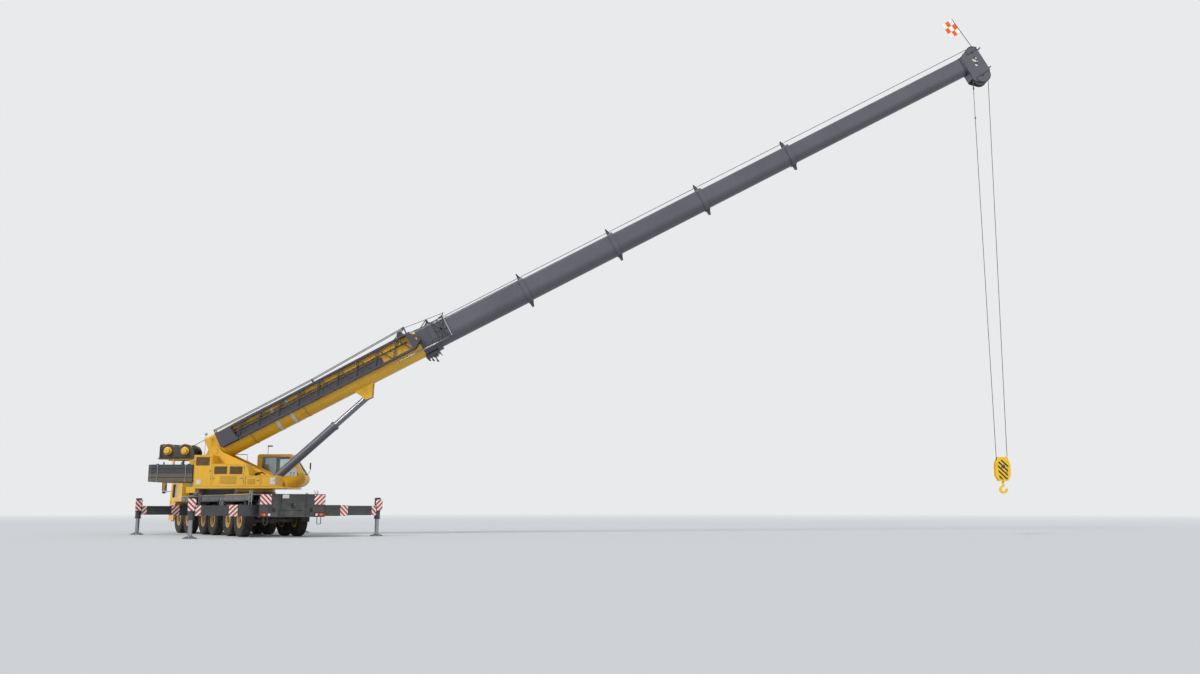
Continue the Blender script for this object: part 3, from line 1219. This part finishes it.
@dataclass
class DriverCabDetails(Detail):
    """Grille, bumper, lamps, wipers, mirrors, steps and inside of the driver's cab."""

    place: np.ndarray = field(default_factory=on_carrier)

    def build(self) -> None:
        """Builds the front first, then the sides and the inside."""
        section = [[4700, 345], [4742, 345], [4756, 372], [4756, 470], [4742, 492], [4700, 492]]
        bumper = [plate(section, -735, 735)]
        bumper += [cuboid((4752, s * 640, 350), (4762, s * 500, 392)) for s in SIGNS]
        self.put("front_bumper", bumper, YELLOW, "carrier", "yellow_paint", 0.004)
        grille = [slats((4700, -430, 560), (4706, 430, 800), 9, (4, 0, 0))]
        grille += [cuboid((4700, -446, 550), (4712, -430, 812)), cuboid((4700, 430, 550), (4712, 446, 812)),
                   cuboid((4700, -446, 800), (4712, 446, 812)), cuboid((4700, -446, 545), (4712, 446, 556))]
        self.put("front_grille", grille, BLACK_PLASTIC, "carrier")
        bezels = [lathe([[44, 0], [62, 0], [62, 12], [54, 18], [44, 14]],
                        turned((4700, s * 590, 508), (1, 0, 0)), 28) for s in SIGNS]
        bezels += [cuboid((4700, s * 470, 486), (4709, s * 530, 530)) for s in SIGNS]
        self.put("lamp_bezels", bezels, BLACK_PLASTIC, "carrier")
        flashers = [cuboid((4708, s * 476, 491), (4714, s * 524, 525)) for s in SIGNS]
        self.put("front_turn_lamps", flashers, AMBER_LENS, "carrier", None, 0.003)
        self.wipers()
        self.mirrors()
        beacons = [lathe([[2, 0], [40, 0], [40, 10], [34, 14], [34, 58], [26, 70], [2, 74]],
                         moved((3760, y, 1404)), 24) for y in (-560, 560)]
        self.put("roof_beacons", beacons, AMBER_LENS, "carrier")
        bases = [lathe([[2, -6], [52, -6], [52, 6], [2, 8]], moved((3760, y, 1402)), 24) for y in (-560, 560)]
        bases += [cuboid((3900, -40, 1399), (4140, 40, 1412)),
                  tube([[4200, 300, 1398], [4190, 300, 1560]], 3, 6)]
        self.put("roof_fittings", bases, BLACK_PLASTIC, "carrier", None, 0.002)
        steps_in = [cuboid((4080, s * 700, 300), (4480, s * 742, 314)) for s in SIGNS]
        steps_in += [rod((x, s * 720, 306), (x, s * 720, 345), 8, 8) for s in SIGNS for x in (4300, 4460)]
        self.put("cab_steps", steps_in, FORGED, "carrier")
        for side, s in SIDED:
            grip = [tube([[4060, s * 747, 812], [4060, s * 768, 815], [4150, s * 768, 815],
                          [4150, s * 747, 812]], 6, 8), cuboid((4030, s * 744, 796), (4046, s * 752, 828))]
            self.put(f"driver_door_handle_{side}", grip, BLACK_PLASTIC, f"driver_door_{side}")
        turn = np.linspace(0, 2 * np.pi, 36, False)
        rim = tube(150 * np.stack([np.cos(turn), np.sin(turn), 0 * turn], -1), 9, 10, ring=True)
        wheel = rim.placed(moved((4330, 380, 1010), (0, -62, 0)))
        column = [rod((4330, 380, 1010), (4560, 380, 640), 20, 12), ball(34, (4330, 380, 1008))]
        column += [cuboid((4450, -600, 820), (4560, 600, 905)), cuboid((4440, 60, 880), (4560, 240, 960))]
        spokes = []
        for a in (0.3, math.pi - 0.3, 1.5 * math.pi):
            tip = (4330 - 128 * math.sin(a) * 0.48, 380 + 140 * math.cos(a), 1010 + 128 * math.sin(a) * 0.88)
            spokes.append(rod(tip, (4330, 380, 1008), 8, 8))
        self.put("dashboard", [wheel, *column, *spokes], BLACK_PLASTIC, "carrier")

    def wipers(self) -> None:
        """Two wipers, low on the sloped screen."""
        forms = []
        for y in (-330, 300):
            forms += [rod((4712, y, 868), (4664, y + 210, 1135), 5, 8),
                      rod((4700, y + 120, 950), (4632, y + 300, 1230), 4, 6)]
            forms += [ball(12, (4713, y, 866), 12)]
        self.put("screen_wipers", forms, BLACK_PLASTIC, "carrier")

    def mirrors(self) -> None:
        """Mirror arms and housings at both front corners."""
        for side, s in SIDED:
            arms = [tube([[4640, s * 742, z], [4690, s * 800, z], [4700, s * 850, z]], 7, 8)
                    for z in (1330, 1090)]
            arms += [rod((4700, s * 850, 1065), (4700, s * 850, 1355), 8, 8)]
            head = [cuboid((4676, s * 862, 1110), (4712, s * 970, 1330)),
                    cuboid((4682, s * 870, 1040), (4708, s * 960, 1096))]
            self.put(f"mirror_arms_{side}", arms, BLACK_PLASTIC, "carrier")
            self.put(f"mirror_heads_{side}", head, BLACK_PLASTIC, "carrier", None, 0.010)
            self.put(f"mirror_glass_{side}", [cuboid((4672, s * 870, 1120), (4677, s * 962, 1320))], MIRROR,
                     "carrier")


@dataclass
class HousingDetails(Detail):
    """Seams, vents, rails, blank signs and eyes of the housings, the counterweight and the winches."""

    def build(self) -> None:
        """Builds what is on the housings, the rails, the counterweight and the winches."""
        self.housings()
        self.rails()
        self.ballast()
        self.winches()

    @staticmethod
    def frame_lines(x0: float, x1: float, y: float, z1: float, z0: float = 1150) -> list:
        """Four lines round a door in a wall at y."""
        return [((x0, y, z0), (x0, y, z1)), ((x1, y, z0), (x1, y, z1)), ((x0, y, z0), (x1, y, z0)),
                ((x0, y, z1), (x1, y, z1))]

    def housings(self) -> None:
        """Doors drawn as seams, with hinges, latches and vents on both housings."""
        near = []
        for x0, x1, z1 in ((-1235, -840, 1860), (-800, -60, 1650), (-20, 330, 1385), (360, 715, 1385)):
            near += self.frame_lines(x0, x1, -702, z1)
        far = []
        for x0, x1 in ((-1185, -840), (-800, -445)):
            far += self.frame_lines(x0, x1, 747, 1780)
        self.put("housing_seams", [seams(near, 3.5), seams(far, 3.5)], YELLOW_SHADE, "superstructure",
                 "yellow_paint")
        vents = [slats((x0, -701, z0), (x1, -706, z1), 9, (0, -5, 0))
                 for x0, x1, z0, z1 in ((-760, -460, 1440, 1620), (-400, -100, 1440, 1620),
                                        (-1200, -880, 1640, 1840))]
        self.put("housing_vents", vents, BLACK_PLASTIC, "superstructure")
        latches = [cuboid((x, -702, z), (x + 46, -714, z + 24))
                   for x, z in ((-880, 1500), (-800, 1330), (-140, 1330), (250, 1280), (640, 1280))]
        latches += [cuboid((x, 746, 1400), (x + 46, 758, 1424)) for x in (-890, -500)]
        hinges = [rod((x, -705, z), (x, -705, z + 50), 9, 10)
                  for x, z in ((-1232, 1250), (-1232, 1700), (-62, 1250), (-62, 1560), (-18, 1200),
                               (-18, 1320), (712, 1200), (712, 1320))]
        self.put("housing_latches", latches + hinges, JACK_STEEL, "superstructure", None, 0.002)
        signs = [cuboid((-620, -702, 1215), (-240, -707, 1390)), cuboid((40, -702, 1200), (210, -707, 1320))]
        self.put("blank_housing_signs", signs, YELLOW_SHADE, "superstructure", None, 0.001)
        square = [cuboid((560, -702, 1190), (690, -709, 1345)),
                  cuboid((-1170, -702, 1190), (-1060, -709, 1300))]
        self.put("blank_white_plates", square, SIGN_WHITE, "superstructure", None, 0.002)
        lines = [tube([[70, -330, 1380], [140, -318, 1440], [220, -300, 1450], [320, -290, 1400]], 14, 10),
                 tube([[60, -360, 1380], [130, -335, 1470], [240, -318, 1490], [350, -300, 1420]], 14, 10)]
        self.put("slew_pipes", lines, BLACK_PLASTIC, "superstructure")

    def rails(self) -> None:
        """Hand rail on the far housing's top, an antenna and the cover of the tail box."""
        rail = tube([[-1180, 700, 1798], [-1180, 700, 1960], [-470, 700, 1960], [-470, 700, 1798]], 9, 10)
        self.put("housing_rail", [rail], RAIL_GREY, "superstructure")
        post = [rod((-1127, -400, 1878), (-1116, -400, 2360), 6, 10), ball(34, (-1115, -400, 2392)),
                lathe([[2, 0], [26, 0], [26, 10], [12, 24], [2, 26]], moved((-1127, -400, 1879)), 16)]
        self.put("antenna", post, RAIL_GREY, "superstructure")
        tail = [cuboid((-1404, -690, 1008), (-1396, -460, 1126)),
                slats((-1402, -660, 1030), (-1408, -490, 1110), 5, (-4, 0, 0))]
        self.put("tail_box_cover", tail, YELLOW_SHADE, "superstructure", "yellow_paint", 0.001)

    def ballast(self) -> None:
        """Joints between the slabs, lifting pins, eyes and tie bars of the counterweight."""
        lines = []
        for z in (1355, 1455, 1555):
            lines += [((-2341, -625, z), (-2341, 625, z)), ((-1262, -737, z), (-2230, -737, z)),
                      ((-1262, 737, z), (-2230, 737, z)), ((-2341, -625, z), (-2230, -737, z)),
                      ((-2341, 625, z), (-2230, 737, z))]
        self.put("ballast_joints", [seams(lines, 5)], BLACK_PLASTIC, "superstructure")
        caps = [lathe([[3, 0], [34, 0], [34, 16], [26, 22], [3, 24]], moved((x, y, 1655)), 20)
                for x in (-1400, -2140) for y in (-600, 600)]
        eyes = [tube([[x, y - 34, 1652], [x, y - 34, 1690], [x, y, 1712], [x, y + 34, 1690],
                      [x, y + 34, 1652]], 9, 8) for x in (-1560, -1980) for y in (-640, 640)]
        self.put("ballast_eyes", caps + eyes, FORGED, "superstructure")
        rods = [rod((x, s * 742, 1262), (x, s * 742, 1650), 9, 10) for x in (-1420, -2080) for s in SIGNS]
        rods += [cuboid((x - 24, s * 736, z), (x + 24, s * 752, z + 18)) for x in (-1420, -2080)
                 for s in SIGNS for z in (1258, 1632)]
        self.put("ballast_tie_bars", rods, JACK_STEEL, "superstructure")

    @staticmethod
    def arc(x: float, radius: float, turn: np.ndarray) -> np.ndarray:
        """Points (x, z) round a drum's middle, radius away at each angle of turn."""
        return np.stack([x + radius * np.cos(turn), DRUMS_Z + radius * np.sin(turn)], -1)

    def winches(self) -> None:
        """Rope on both drums, drum flanges, motors, covers and the pipes between them."""
        for k, x in enumerate(DRUMS_X):
            near, far = (x, -205, DRUMS_Z), (x, 205, DRUMS_Z)
            rope = [coil(116, 7.5, near, far, 27), coil(129, 7.5, far, near, 27)]
            self.put(f"drum_rope_{k + 1}", rope, ROPE, "superstructure", "wire_rope")
            motor = [lathe([[4, 0], [92, 0], [96, 10], [96, 40], [70, 52], [60, 96], [4, 100]],
                           turned((x, s * 266, DRUMS_Z), (0, s, 0)), 30) for s in SIGNS]
            studs = np.insert(self.arc(x, 82, np.arange(10) / 10 * 2 * np.pi), 1, 0, axis=1)
            motor += [bars(studs + [0, s * 300, 0], studs + [0, s * 316, 0], 7, 6) for s in SIGNS]
            self.put(f"winch_gear_{k + 1}", motor, YELLOW, "superstructure", "winch_paint")
            wrap = np.linspace(0.5, 2.6, 14)
            sheet = np.concatenate([self.arc(x, 168, wrap), self.arc(x, 176, wrap[::-1])])
            cover = [plate(sheet, s * 268, s * 214) for s in SIGNS]
            self.put(f"winch_covers_{k + 1}", cover, YELLOW, "superstructure", "winch_paint")
        pipes = [tube([[-1500, s * 322, 1840], [-1700, s * 328, 1850], [-1980, s * 328, 1850],
                       [-2200, s * 322, 1840]], 11, 8) for s in SIGNS]
        pipes += [rod((-2225, y, 1826), (-2225, y, 2150), 9, 8) for y in (-300, 300)]
        pipes += [rod((-2225, -300, 2140), (-2225, 300, 2140), 9, 8)]
        self.put("winch_pipes", pipes, BLACK_PLASTIC, "superstructure")


@dataclass
class OperatorCabDetails(Detail):
    """Post, door rail, wiper, consoles and mirror of the operator's cab."""

    def build(self) -> None:
        """Builds the post, rail and wiper, then the consoles and the mirror."""
        post = [rod((40, 700, 1950), (40, 700, 2175), 7, 10), cuboid((30, 680, 2150), (150, 716, 2186)),
                lathe([[3, 0], [24, 0], [24, 8], [3, 10]], moved((40, 700, 1953)), 18)]
        self.put("cab_post", post, RAIL_GREY, "operator_cab")
        self.put("door_rail", [tube([[420, 752, 1480], [420, 768, 1480], [420, 768, 1640], [420, 752, 1640]],
                                    7, 8)], BLACK_PLASTIC, "operator_door")
        wiper = [rod((1072, 470, 1470), (760, 620, 1925), 5, 8),
                 rod((1040, 430, 1520), (850, 540, 1800), 4, 6), ball(14, (1086, 470, 1455), 12)]
        self.put("cab_wiper", wiper, BLACK_PLASTIC, "operator_cab")
        controls = [cuboid((560, y, 1200), (780, y + 70, 1420)) for y in (390, 640)]
        controls += [rod((700, y + 35, 1415), (716, y + 35, 1500), 7, 8) for y in (390, 640)]
        controls += [ball(15, (718, y + 35, 1508), 12) for y in (390, 640)]
        controls += [cuboid((905, 560, 1300), (935, 690, 1400)),
                     rod((940, 620, 1160), (925, 620, 1310), 12, 10)]
        self.put("cab_consoles", controls, BLACK_PLASTIC, "operator_cab", None, 0.004)
        mirror = [tube([[1040, 752, 1480], [1080, 800, 1560], [1080, 806, 1620]], 6, 8)]
        head = [cuboid((1066, 782, 1600), (1094, 834, 1760))]
        self.put("cab_mirror_arm", mirror, BLACK_PLASTIC, "operator_cab")
        self.put("cab_mirror_head", head, BLACK_PLASTIC, "operator_cab", None, 0.008)


@dataclass
class BoomDetails(Detail):
    """Rope guards, brackets, straps, head fittings, switch weight and rope along the boom."""

    place: np.ndarray = field(default_factory=on_boom)
    mouths: tuple = (5925, 8425, 10925, 13425, 15925, 20975)
    heights: tuple = (650, 590, 555, 525, 492, 460)
    rope_n: float = 485
    angle_deg: float = 27.7

    def build(self) -> None:
        """Builds the collars' guards, the base's fittings, the head's fittings and the rope over the boom."""
        for k in (1, 2, 3, 4):
            self.collar(k)
        self.base()
        self.mouth()
        self.head()
        self.switch_weight()
        self.rope()

    def collar(self, k: int) -> None:
        """A pointed rope guard on top of a section's collar and a small bracket below it."""
        s = self.mouths[k] - 60
        top = 100 + self.heights[k] / 2 + 26
        low = 100 - self.heights[k] / 2 - 26
        fin = [plate([[s - 52, top], [s + 46, top], [s - 14, top + 176], [s - 34, top + 176]], y, y + 8)
               for y in (-44, 36)]
        fin += [rod((s - 24, -44, top + 166), (s - 24, 44, top + 166), 9, 10),
                rod((s - 8, -44, top + 104), (s - 8, 44, top + 104), 12, 12)]
        fin += [plate([[s - 40, low - 108], [s + 10, low - 120], [s + 48, low], [s - 52, low]], -26, 26)]
        fin += [rod((s - 14, -46, low - 96), (s - 14, 46, low - 96), 11, 10)]
        self.put(f"rope_guard_{k}", fin, MAST_GREY, f"tele_{k}", "boom_paint")
        half = 260 * self.heights[k] / 650
        heads = np.array([[s + dx, y, top - 2] for dx in (-40, 40) for y in (-half * 0.7, 0, half * 0.7)])
        self.put(f"collar_bolts_{k}", [bars(heads, heads + [0, 0, 9], 8, 6)], JACK_STEEL, f"tele_{k}")

    def base(self) -> None:
        """Pipes, straps, ribs, blank panels and the bars along the lower edge of the base section."""
        pipes = [tube([[300, y, 432], [2600, y, 432], [2700, y + 6, 440], [3100, y + 6, 440]], 8, 8)
                 for y in (-150, -130, -110)]
        pipes += [rod((250, -268, z), (5200, -268, z), 7, 8) for z in (250, 275)]
        clips = [cuboid((s, -160, 424), (s + 20, -100, 444)) for s in range(450, 2500, 450)]
        clips += [cuboid((s, -276, 240), (s + 20, -259, 285)) for s in range(450, 5200, 430)]
        self.put("boom_pipes", pipes + clips, BLACK_PLASTIC, "boom_base")
        light = [band(boom_outline(self.heights[0]), 5, s, s + 70) for s in (1560, 1940)]
        self.put("base_straps", light, SIGN_WHITE, "boom_base", "yellow_paint")
        bar = [rod((5060, y, -85), (5830, y, -95), 20, 14) for y in (-264, 264)]
        bar += [rod((4740, y, -80), (6190, y, -98), 10, 10) for y in (-264, 264)]
        bar += [cuboid((s, y * 0.82, -100), (s + 30, y, -70)) for s in (4780, 5200, 5700)
                for y in (-264, 264)]
        self.put("chord_bars", bar, RAIL_GREY, "boom_base")
        signs = [cuboid((2450, -266, 60), (3300, -260, 260)), cuboid((3600, -266, 90), (4500, -260, 230))]
        self.put("blank_boom_signs", signs, YELLOW_SHADE, "boom_base", None, 0.001)
        ribs = [band(boom_outline(self.heights[0]), 8, s, s + 40) for s in (900, 2300)]
        self.put("base_ribs", ribs, YELLOW_SHADE, "boom_base", "yellow_paint", 0.001)

    def mouth(self) -> None:
        """The open frame in front of the base's mouth, its apex, its flange and the ball ends below it."""
        forms = []
        for y in (-272, 272):
            out = y + math.copysign(12, y)
            forms += [plate([[s0, n0], [s1, n1], [s1, n1 + 26], [s0, n0 + 26]], y, out)
                      for s0, n0, s1, n1 in ((5880, 404, 6262, 410), (5880, -80, 6262, -92),
                                             (5880, 160, 6262, 150))]
            forms += [plate([[s0, -66], [s0 + 26, -66], [s0 + 26, 416], [s0, 416]], y, out)
                      for s0 in (5930, 6080)]
            forms += [plate([[5950, -60], [5980, -60], [6250, 400], [6220, 400]], y, out),
                      plate([[6220, -60], [6250, -60], [5980, 400], [5950, 400]], y, out),
                      plate([[6150, 426], [6262, 430], [6330, 520], [6316, 524], [6262, 470], [6150, 446]], y,
                            out)]
        forms += [cuboid((s0, 70 * t, 430), (s0 + 30, 280 * t, 446)) for s0 in (5900, 6225) for t in (-1, 1)]
        self.put("mouth_frame", forms, MAST_GREY, "boom_base", "boom_paint")
        flange = [cuboid((6254, 268 * t, -96), (6278, 292 * t, 440)) for t in (-1, 1)]
        self.put("mouth_flange", flange, RAIL_GREY, "boom_base", "boom_paint", 0.002)
        guide = [rod((5620, y, 423), (5850, y * 0.4, 590), 12, 10) for y in (-180, 180)]
        guide += [rod((5850, -80, 590), (5850, 80, 590), 14, 12),
                  rod((5850, -50, 525), (5850, 50, 525), 30, 20)]
        guide += [plate([[5800, 422], [5900, 422], [5866, 600], [5834, 600]], y, y + 8) for y in (-64, 56)]
        self.put("mouth_rope_guide", guide, MAST_GREY, "boom_base", "boom_paint")
        below = [cuboid((5560, -110, -300), (5810, 110, -222)), cuboid((5620, -70, -345), (5740, 70, -298))]
        ends = [(s0, n1, y) for s0, n1 in ((5480, -330), (5560, -372), (5650, -440)) for y in (-70, 70)]
        below += [rod((s0, y, -290), (s0 + 10, y, n1), 11, 8) for s0, n1, y in ends]
        below += [ball(24, (s0 + 10, y, n1 - 8), 12) for s0, n1, y in ends]
        below += [rod((5790, y, -280), (5815, y, -372), 10, 8) for y in (-70, 70)]
        below += [cuboid((5450, y - 30, -300), (5620, y + 30, -222)) for y in (-70, 70)]
        self.put("mouth_rollers", below, MAST_GREY, "boom_base", "boom_paint")

    def head(self) -> None:
        """Rims, slots, collar band, guard spikes and lamp at the boom's head."""
        rims = []
        for s, n, r, low, high in ((*TOP_SHEAVE, 158, 0.02, 1.02), (*LOW_SHEAVE, 200, 0.98, 2.06)):
            arc = np.linspace(low * np.pi, high * np.pi, 26)
            ends = np.stack([s + (r - 8) * np.cos(arc), n + (r - 8) * np.sin(arc)], -1)
            for y in (-169, 169):
                loop = np.insert(ends, 1, y, axis=1)
                rims.append(tube(loop, 8, 8, ring=True))
                rims.append(lathe([[3, 0], [34, 0], [34, 8], [24, 16], [3, 18]],
                                  turned((s, y * 0.985, n), (0, 1 if y > 0 else -1, 0)), 24))
        rims += [rod((20990, y, 335), (20990, y, -325), 9, 8) for y in (-168, 168)]
        self.put("head_rims", rims, HEAD_SHADE, "tele_5", "boom_paint")
        edge = [band(boom_outline(self.heights[5]), 7, 20918, 20950)]
        self.put("head_collar_band", edge, HEAD_SHADE, "tele_5", "boom_paint")
        turn = np.linspace(0, 2 * np.pi, 24, endpoint=False)
        holes = []
        for s, n, a, b in ((21264, 94, 66, 26), (21247, -35, 38, 24)):
            long, wide = a * np.cos(turn), b * np.sin(turn)
            oval = np.stack([s + 0.55 * long + 0.83 * wide, n - 0.83 * long + 0.55 * wide], -1)
            holes += [plate(oval, y, y + math.copysign(3, y)) for y in (-166, 166)]
        self.put("head_slots", holes, SIGN_WHITE, "tele_5")
        spikes = [rod((21440, y, 322), (21618, y, 346), 8, 8) for y in (-60, 60)]
        spikes += [cuboid((21600, -80, 334), (21630, 80, 362)),
                   rod((21540, -150, 315), (21540, 150, 315), 8, 8)]
        spikes += [rod((21420, y, -240), (21604, y, -214), 7, 8) for y in (-60, 60)]
        spikes += [cuboid((21592, -74, -226), (21616, 74, -202)),
                   rod((21535, -150, -231), (21535, 150, -231), 8, 8)]
        self.put("head_spikes", spikes, FORGED, "tele_5")
        lamp = [lathe([[2, 0], [26, 0], [26, 30], [16, 44], [2, 46]], turned((21150, 130, 352), (0, 0, 1)),
                      18)]
        self.put("head_lamp", lamp, RED_LENS, "tele_5")

    def switch_weight(self) -> None:
        """Weight of the hoist's limit switch on its chain and thin rope, under the head's rear corner."""
        top, foot = np.array([17826, -158, 11440]), np.array([17823, -158, 10430])
        forms = [chain(tuple(top), (17823, -158, 11190), 46, 6.5),
                 rod((17823, -158, 11200), tuple(foot), 3, 6)]
        forms += [ball(22, (17823, -158, 10415), 16), cuboid((17805, -166, 11172), (17841, -150, 11204))]
        piece = show(Form.joined(forms).placed(np.diag([MM, MM, MM, 1.0])), "switch_weight", FORGED, "tele_5")
        piece.parent = None
        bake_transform(piece)

    def rope(self) -> None:
        """The hoist rope over each section, one straight length a section, all in one line."""
        n = self.rope_n
        spans = {"boom_base": (700, 5925), "tele_1": (5960, 8300), "tele_2": (8440, 10800),
                 "tele_3": (10940, 13300), "tele_4": (13440, 15800), "tele_5": (15940, 21300)}
        for body, (start, stop) in spans.items():
            reach = stop if body == "tele_5" else stop + 120
            line = np.linspace([start, 0, n], [reach, 0, n], 12)
            self.put(f"hoist_rope_{body}", [tube(line, ROPE_R_MM, 8)], ROPE, body, "wire_rope")
        over = np.linspace(np.pi / 2, 0, 10)
        front = np.stack([TOP_SHEAVE[0] + (165 + 50 * np.cos(over)) * np.cos(over), 0 * over,
                          TOP_SHEAVE[1] + (165 - 30 * np.cos(over)) * np.sin(over)], -1)
        under = np.linspace(0, -math.radians(self.angle_deg), 5)
        low = np.stack([LOW_SHEAVE[0] + 187 * np.cos(under), 0 * under, LOW_SHEAVE[1] + 187 * np.sin(under)],
                       -1)
        line = np.concatenate([[[21290, 0, n]], front, [[21540, 0, 0], [21540, 0, -231], [21500, 0, -300]],
                               low])
        self.put("hoist_rope_head", [tube(line, ROPE_R_MM, 8)], ROPE, "tele_5", "wire_rope")
        start, end = np.array([-1.60, 0, 2.105]), (BOOM @ np.array([0.71, 0, n * MM, 1]))[:3]
        lead = show(tube(np.linspace(start, end, 16), ROPE_R_MM * MM, 8), "hoist_rope_lead", ROPE,
                    "superstructure")
        lead.parent = None
        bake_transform(lead)


@dataclass
class HookDetails(Detail):
    """Cheeks with stripes, pins and studs of the hook block."""

    def build(self) -> None:
        """Builds the striped cheek plates over the block's own, and then the fittings."""
        x, z = 18018, 1640
        turn = np.linspace(-0.25, np.pi + 0.25, 24)
        crown = np.stack([x + 128 * np.cos(turn), z + 30 + 128 * np.sin(turn)], -1)
        outline = np.concatenate([crown, [[x - 96, 1330], [x + 96, 1330]]])
        for side, s in SIDED:
            finish = StripedPaint(f"hook_stripes_{side}", first="#26272a", second="#e5b713", pitch_mm=80.0,
                                  along=(s, 0, -1))
            self.put(f"hook_cheek_{side}", [plate(outline, s * 63, s * 68)], finish, "hook_block",
                     "hook_paint", 0.001)
        pins = [lathe([[3, 0], [44, 0], [44, 10], [30, 20], [3, 22]], turned((x, s * 67, z), (0, s, 0)), 24)
                for s in SIGNS]
        studs = np.array([[x + dx, 0, zz] for dx in (-78, 78) for zz in (1360, 1500)])
        pins += [bars(studs + [0, s * 66, 0], studs + [0, s * 78, 0], 10, 6) for s in SIGNS]
        self.put("hook_pins", pins, FORGED, "hook_block")


@dataclass
class MastDetails(Detail):
    """Rope winches on the folding masts and the stays in front of them."""

    place: np.ndarray = field(default_factory=on_boom)
    winch_y: float = 365
    along: float = 5150
    up: float = 470

    def build(self) -> None:
        """Builds a small winch at each mast's root and the stay from its peak to the base's mouth."""
        for side, s in SIDED:
            y = s * self.winch_y
            root = [coil(52, 6, (self.along, y - 45, self.up), (self.along, y + 45, self.up), 7)]
            self.put(f"mast_rope_{side}", root, ROPE, f"stay_mast_{side}", "wire_rope")
            ends = [lathe([[3, 0], [78, 0], [78, 8], [3, 10]],
                          turned((self.along, y + t * 46, self.up), (0, t, 0)), 28) for t in (1, -1)]
            self.put(f"mast_winch_{side}", ends, MAST_GREY, f"stay_mast_{side}", "boom_paint")
            low, high = np.array([5300, s * 350, 592]), np.array([6300, s * 278, 500])
            stay = self.put(f"front_stay_{side}", [rod(tuple(low), tuple(high), 7, 8),
                                                   ball(14, tuple(high), 12)], MAST_GREY, f"stay_mast_{side}",
                            "boom_paint")
            ends = [(self.place @ np.array([*(v * MM), 1]))[:3] for v in (low, high)]
            stay.parent = None
            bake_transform(stay)


@dataclass
class FrameFinishes:
    """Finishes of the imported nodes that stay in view."""

    by_finish: dict = field(default_factory=lambda: {
        YELLOW: ["driver_cab", "driver_door_left", "driver_door_right", "slew_frame", "side_housings",
                 "operator_cab", "operator_door"],
        BASE_YELLOW: ["boom_base"],
        CARRIER_DARK: ["carrier_frame"],
        OUTER_BEAM: [f"outer_beam_{box}_{side}" for box in BOXES for side in SIDES],
        INNER_BEAM: [f"inner_beam_{box}_{side}" for box in BOXES for side in SIDES],
        DECK_PLATE: ["carrier_deck"],
        AXLE_BLACK: ["axle_beams"] + [f"knuckle_{axle}_{side}" for axle in STEERED for side in SIDES],
        ENGINE_GREY: ["engine_block"],
        GLASS: ["driver_cab_glass", "operator_cab_glass"],
        BALLAST: ["counterweight"],
        WINCH_BROWN: ["winch_unit"],
        BOOM_GREY: [f"tele_{k}" for k in (1, 2, 3, 4, 5)] + ["luffing_barrel"],
        MAST_GREY: [f"stay_mast_{side}" for side in SIDES],
        CHROME: ["luffing_rod"],
        JACK_STEEL: [f"jack_{box}_{side}" for box in BOXES for side in SIDES],
        HOOK_YELLOW: ["hook_block"],
    })

    def build(self) -> None:
        """Dresses each node in its finish."""
        for finish, nodes in self.by_finish.items():
            for node in nodes:
                dress(node, finish)
        LOG.info("dressed the packed nodes")


def main() -> None:
    """Builds the scene in order, camera first."""
    logging.basicConfig(level=logging.INFO, format="%(message)s")
    for part in (Studio(), FrameFinishes(), Wheels(), HoistRope(), Flag(), RearEnd(), Outriggers(),
                 CarrierDetails(), DriverCabDetails(), HousingDetails(), OperatorCabDetails(), BoomDetails(),
                 HookDetails(), MastDetails()):
        part.build()


if __name__ == "__main__":
    main()
